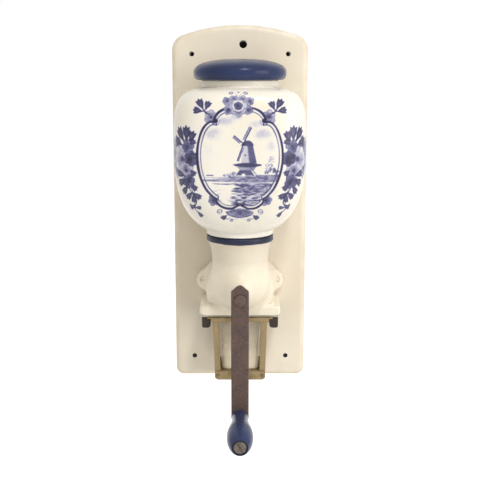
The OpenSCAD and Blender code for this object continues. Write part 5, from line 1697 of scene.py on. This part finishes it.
@dataclass
class Studio:
    """Camera, lamps, white surroundings, floor and the card behind the board; sizes are in metres."""

    camera_at: Triple = (0.0, -0.865, 0.1342)
    camera_pitch: float = 79.0
    lens: float = 65.25
    sensor: float = 36.0
    key_at: Triple = (0.45, -1.66, 2.08)
    key_size: float = 0.34
    key_watts: float = 24.0
    key_tone: Triple = (0.95, 0.98, 1.0)
    fill_at: Triple = (1.3, -0.95, 0.35)
    fill_size: float = 0.9
    fill_watts: float = 10.5
    fill_tone: Triple = (1.0, 0.97, 0.92)
    around: float = 0.74
    room_tone: Colour = (1.0, 0.965, 0.905, 1.0)
    floor_z: float = -0.5
    floor_half: float = 4.0
    floor_tone: Colour = (0.86, 0.86, 0.86, 1.0)
    floor_glow: float = 0.56
    # the dark card behind the board: its size, place and colour of painted shade seen through the holes
    shade_card_half: float = 0.055
    wall_z: tuple[float, float] = (-0.16, 0.168)
    shade_card_y: float = 0.0008
    hole_shade_tone: Colour = srgb(46, 40, 36)

    def camera(self) -> None:
        """Stands the camera at the photograph's viewing angle."""
        lens = bpy.data.cameras.new("view")
        lens.lens = self.lens
        lens.sensor_width = self.sensor
        eye = new_object("view", lens)
        eye.location = self.camera_at
        eye.rotation_euler = (math.radians(self.camera_pitch), 0.0, 0.0)
        bpy.context.scene.camera = eye

    def lamp(self, name: str, at: Triple, watts: float, size: float, tone: Triple) -> None:
        """Hangs a square lamp that looks at the middle of the mill."""
        light = bpy.data.lights.new(name, "AREA")
        light.energy = watts
        light.size = size
        light.color = tone
        holder = new_object(name, light)
        holder.location = at
        holder.rotation_euler = Vector(at).to_track_quat("Z", "Y").to_euler()

    def seen_directly(self, tree: NodeTree) -> NodeSocket:
        """Gives 1 for rays that show the background: camera, mirror and glass rays."""
        rays = tree.nodes.new("ShaderNodeLightPath").outputs
        total = rays["Is Camera Ray"]
        for ray in ("Is Glossy Ray", "Is Transmission Ray"):
            total = wire(tree, "Math", {0: total, 1: rays[ray]}, operation="MAXIMUM")
        return total

    def build(self) -> None:
        """Hangs the lamps and lays out the world, the floor and the dark card of painted shade behind the
        board's holes.
        """
        self.lamp("key", self.key_at, self.key_watts, self.key_size, self.key_tone)
        self.lamp("fill", self.fill_at, self.fill_watts, self.fill_size, self.fill_tone)
        world = bpy.data.worlds.new("white room")
        bpy.context.scene.world = world
        world.use_nodes = True
        tree = world.node_tree
        seen = self.seen_directly(tree)
        sky = tree.nodes["Background"].inputs
        level = wire(tree, "MapRange", {"Value": seen, "To Min": self.around, "To Max": 1.0}, "Result")
        feed(tree, sky["Strength"], level)
        tone = wire(tree, "Mix", {0: seen, 6: self.room_tone, 7: WHITE}, 2, data_type="RGBA")
        feed(tree, sky["Color"], tone)
        self.floor()
        self.wall()

    def card(self, name: str, finish: str, corners: Sequence[Triple]) -> tuple[Object, NodeTree]:
        """Makes a card of four corners and gives it with the nodes of its finish."""
        mesh = bpy.data.meshes.new(name)
        mesh.from_pydata(corners, [], [(0, 1, 2, 3)])
        material = bpy.data.materials.new(finish)
        material.use_nodes = True
        mesh.materials.append(material)
        return new_object(name, mesh), material.node_tree

    def wall(self) -> None:
        """Stands a dark card just behind the board, seen through its holes as painted shade: it takes no part
        in the light.
        """
        wide, y, (low, high) = self.shade_card_half, self.shade_card_y, self.wall_z
        card, tree = self.card("wall", "painted_hole_shade",
                               [(-wide, y, low), (wide, y, low), (wide, y, high), (-wide, y, high)])
        shade = tree.nodes["Principled BSDF"]
        shade.inputs["Base Color"].default_value = self.hole_shade_tone
        shade.inputs["Roughness"].default_value = 0.9
        back = wire(tree, "NewGeometry", {}, "Backfacing")
        pick = wire(tree, "MixShader", {0: back, 1: shade.outputs[0], 2: wire(tree, "BsdfTransparent", {})})
        feed(tree, tree.nodes["Material Output"].inputs["Surface"], pick)
        for ray in ("diffuse", "glossy", "transmission", "volume_scatter", "shadow"):
            setattr(card, f"visible_{ray}", False)

    def floor(self) -> None:
        """Lays the pale floor: it takes the shadow and shows white to the camera."""
        half, z = self.floor_half, self.floor_z
        ground, tree = self.card("floor", "pale_floor",
                                 [(-half, -half, z), (half, -half, z), (half, half, z), (-half, half, z)])
        tree.nodes.remove(tree.nodes["Principled BSDF"])
        glow = wire(tree, "Math", {0: self.seen_directly(tree), 1: self.floor_glow}, operation="MULTIPLY")
        both = wire(tree, "AddShader", {0: wire(tree, "BsdfDiffuse", {"Color": self.floor_tone}),
                                        1: wire(tree, "Emission", {"Strength": glow})})
        feed(tree, tree.nodes["Material Output"].inputs["Surface"], both)


def main() -> None:
    """Builds the mill in order."""
    logging.basicConfig(level=logging.INFO, format="%(message)s")
    bpy.context.scene.view_settings.view_transform = "Standard"
    studio = Studio()
    studio.camera()
    finishes = Wardrobe()
    BackBoard().build(finishes.board)
    HopperJar().build(finishes.glaze, JarPainting().paint())
    Lid().build(finishes.lid)
    MillCasting().build(finishes.enamel)
    eased_copy(Badge("ear_screws", finishes.screw_paint, "mill", "ear_screw_paint", ("casting_screws",)), 0.3)
    Crank().build(finishes.crank, finishes.screw_head, finishes.knob, finishes.shaft_end)
    CupHolder().build(finishes.brass, finishes.rivet, finishes.rail, finishes.glass)
    finishes.dress_kept_nodes()
    studio.build()


if __name__ == "__main__":
    main()
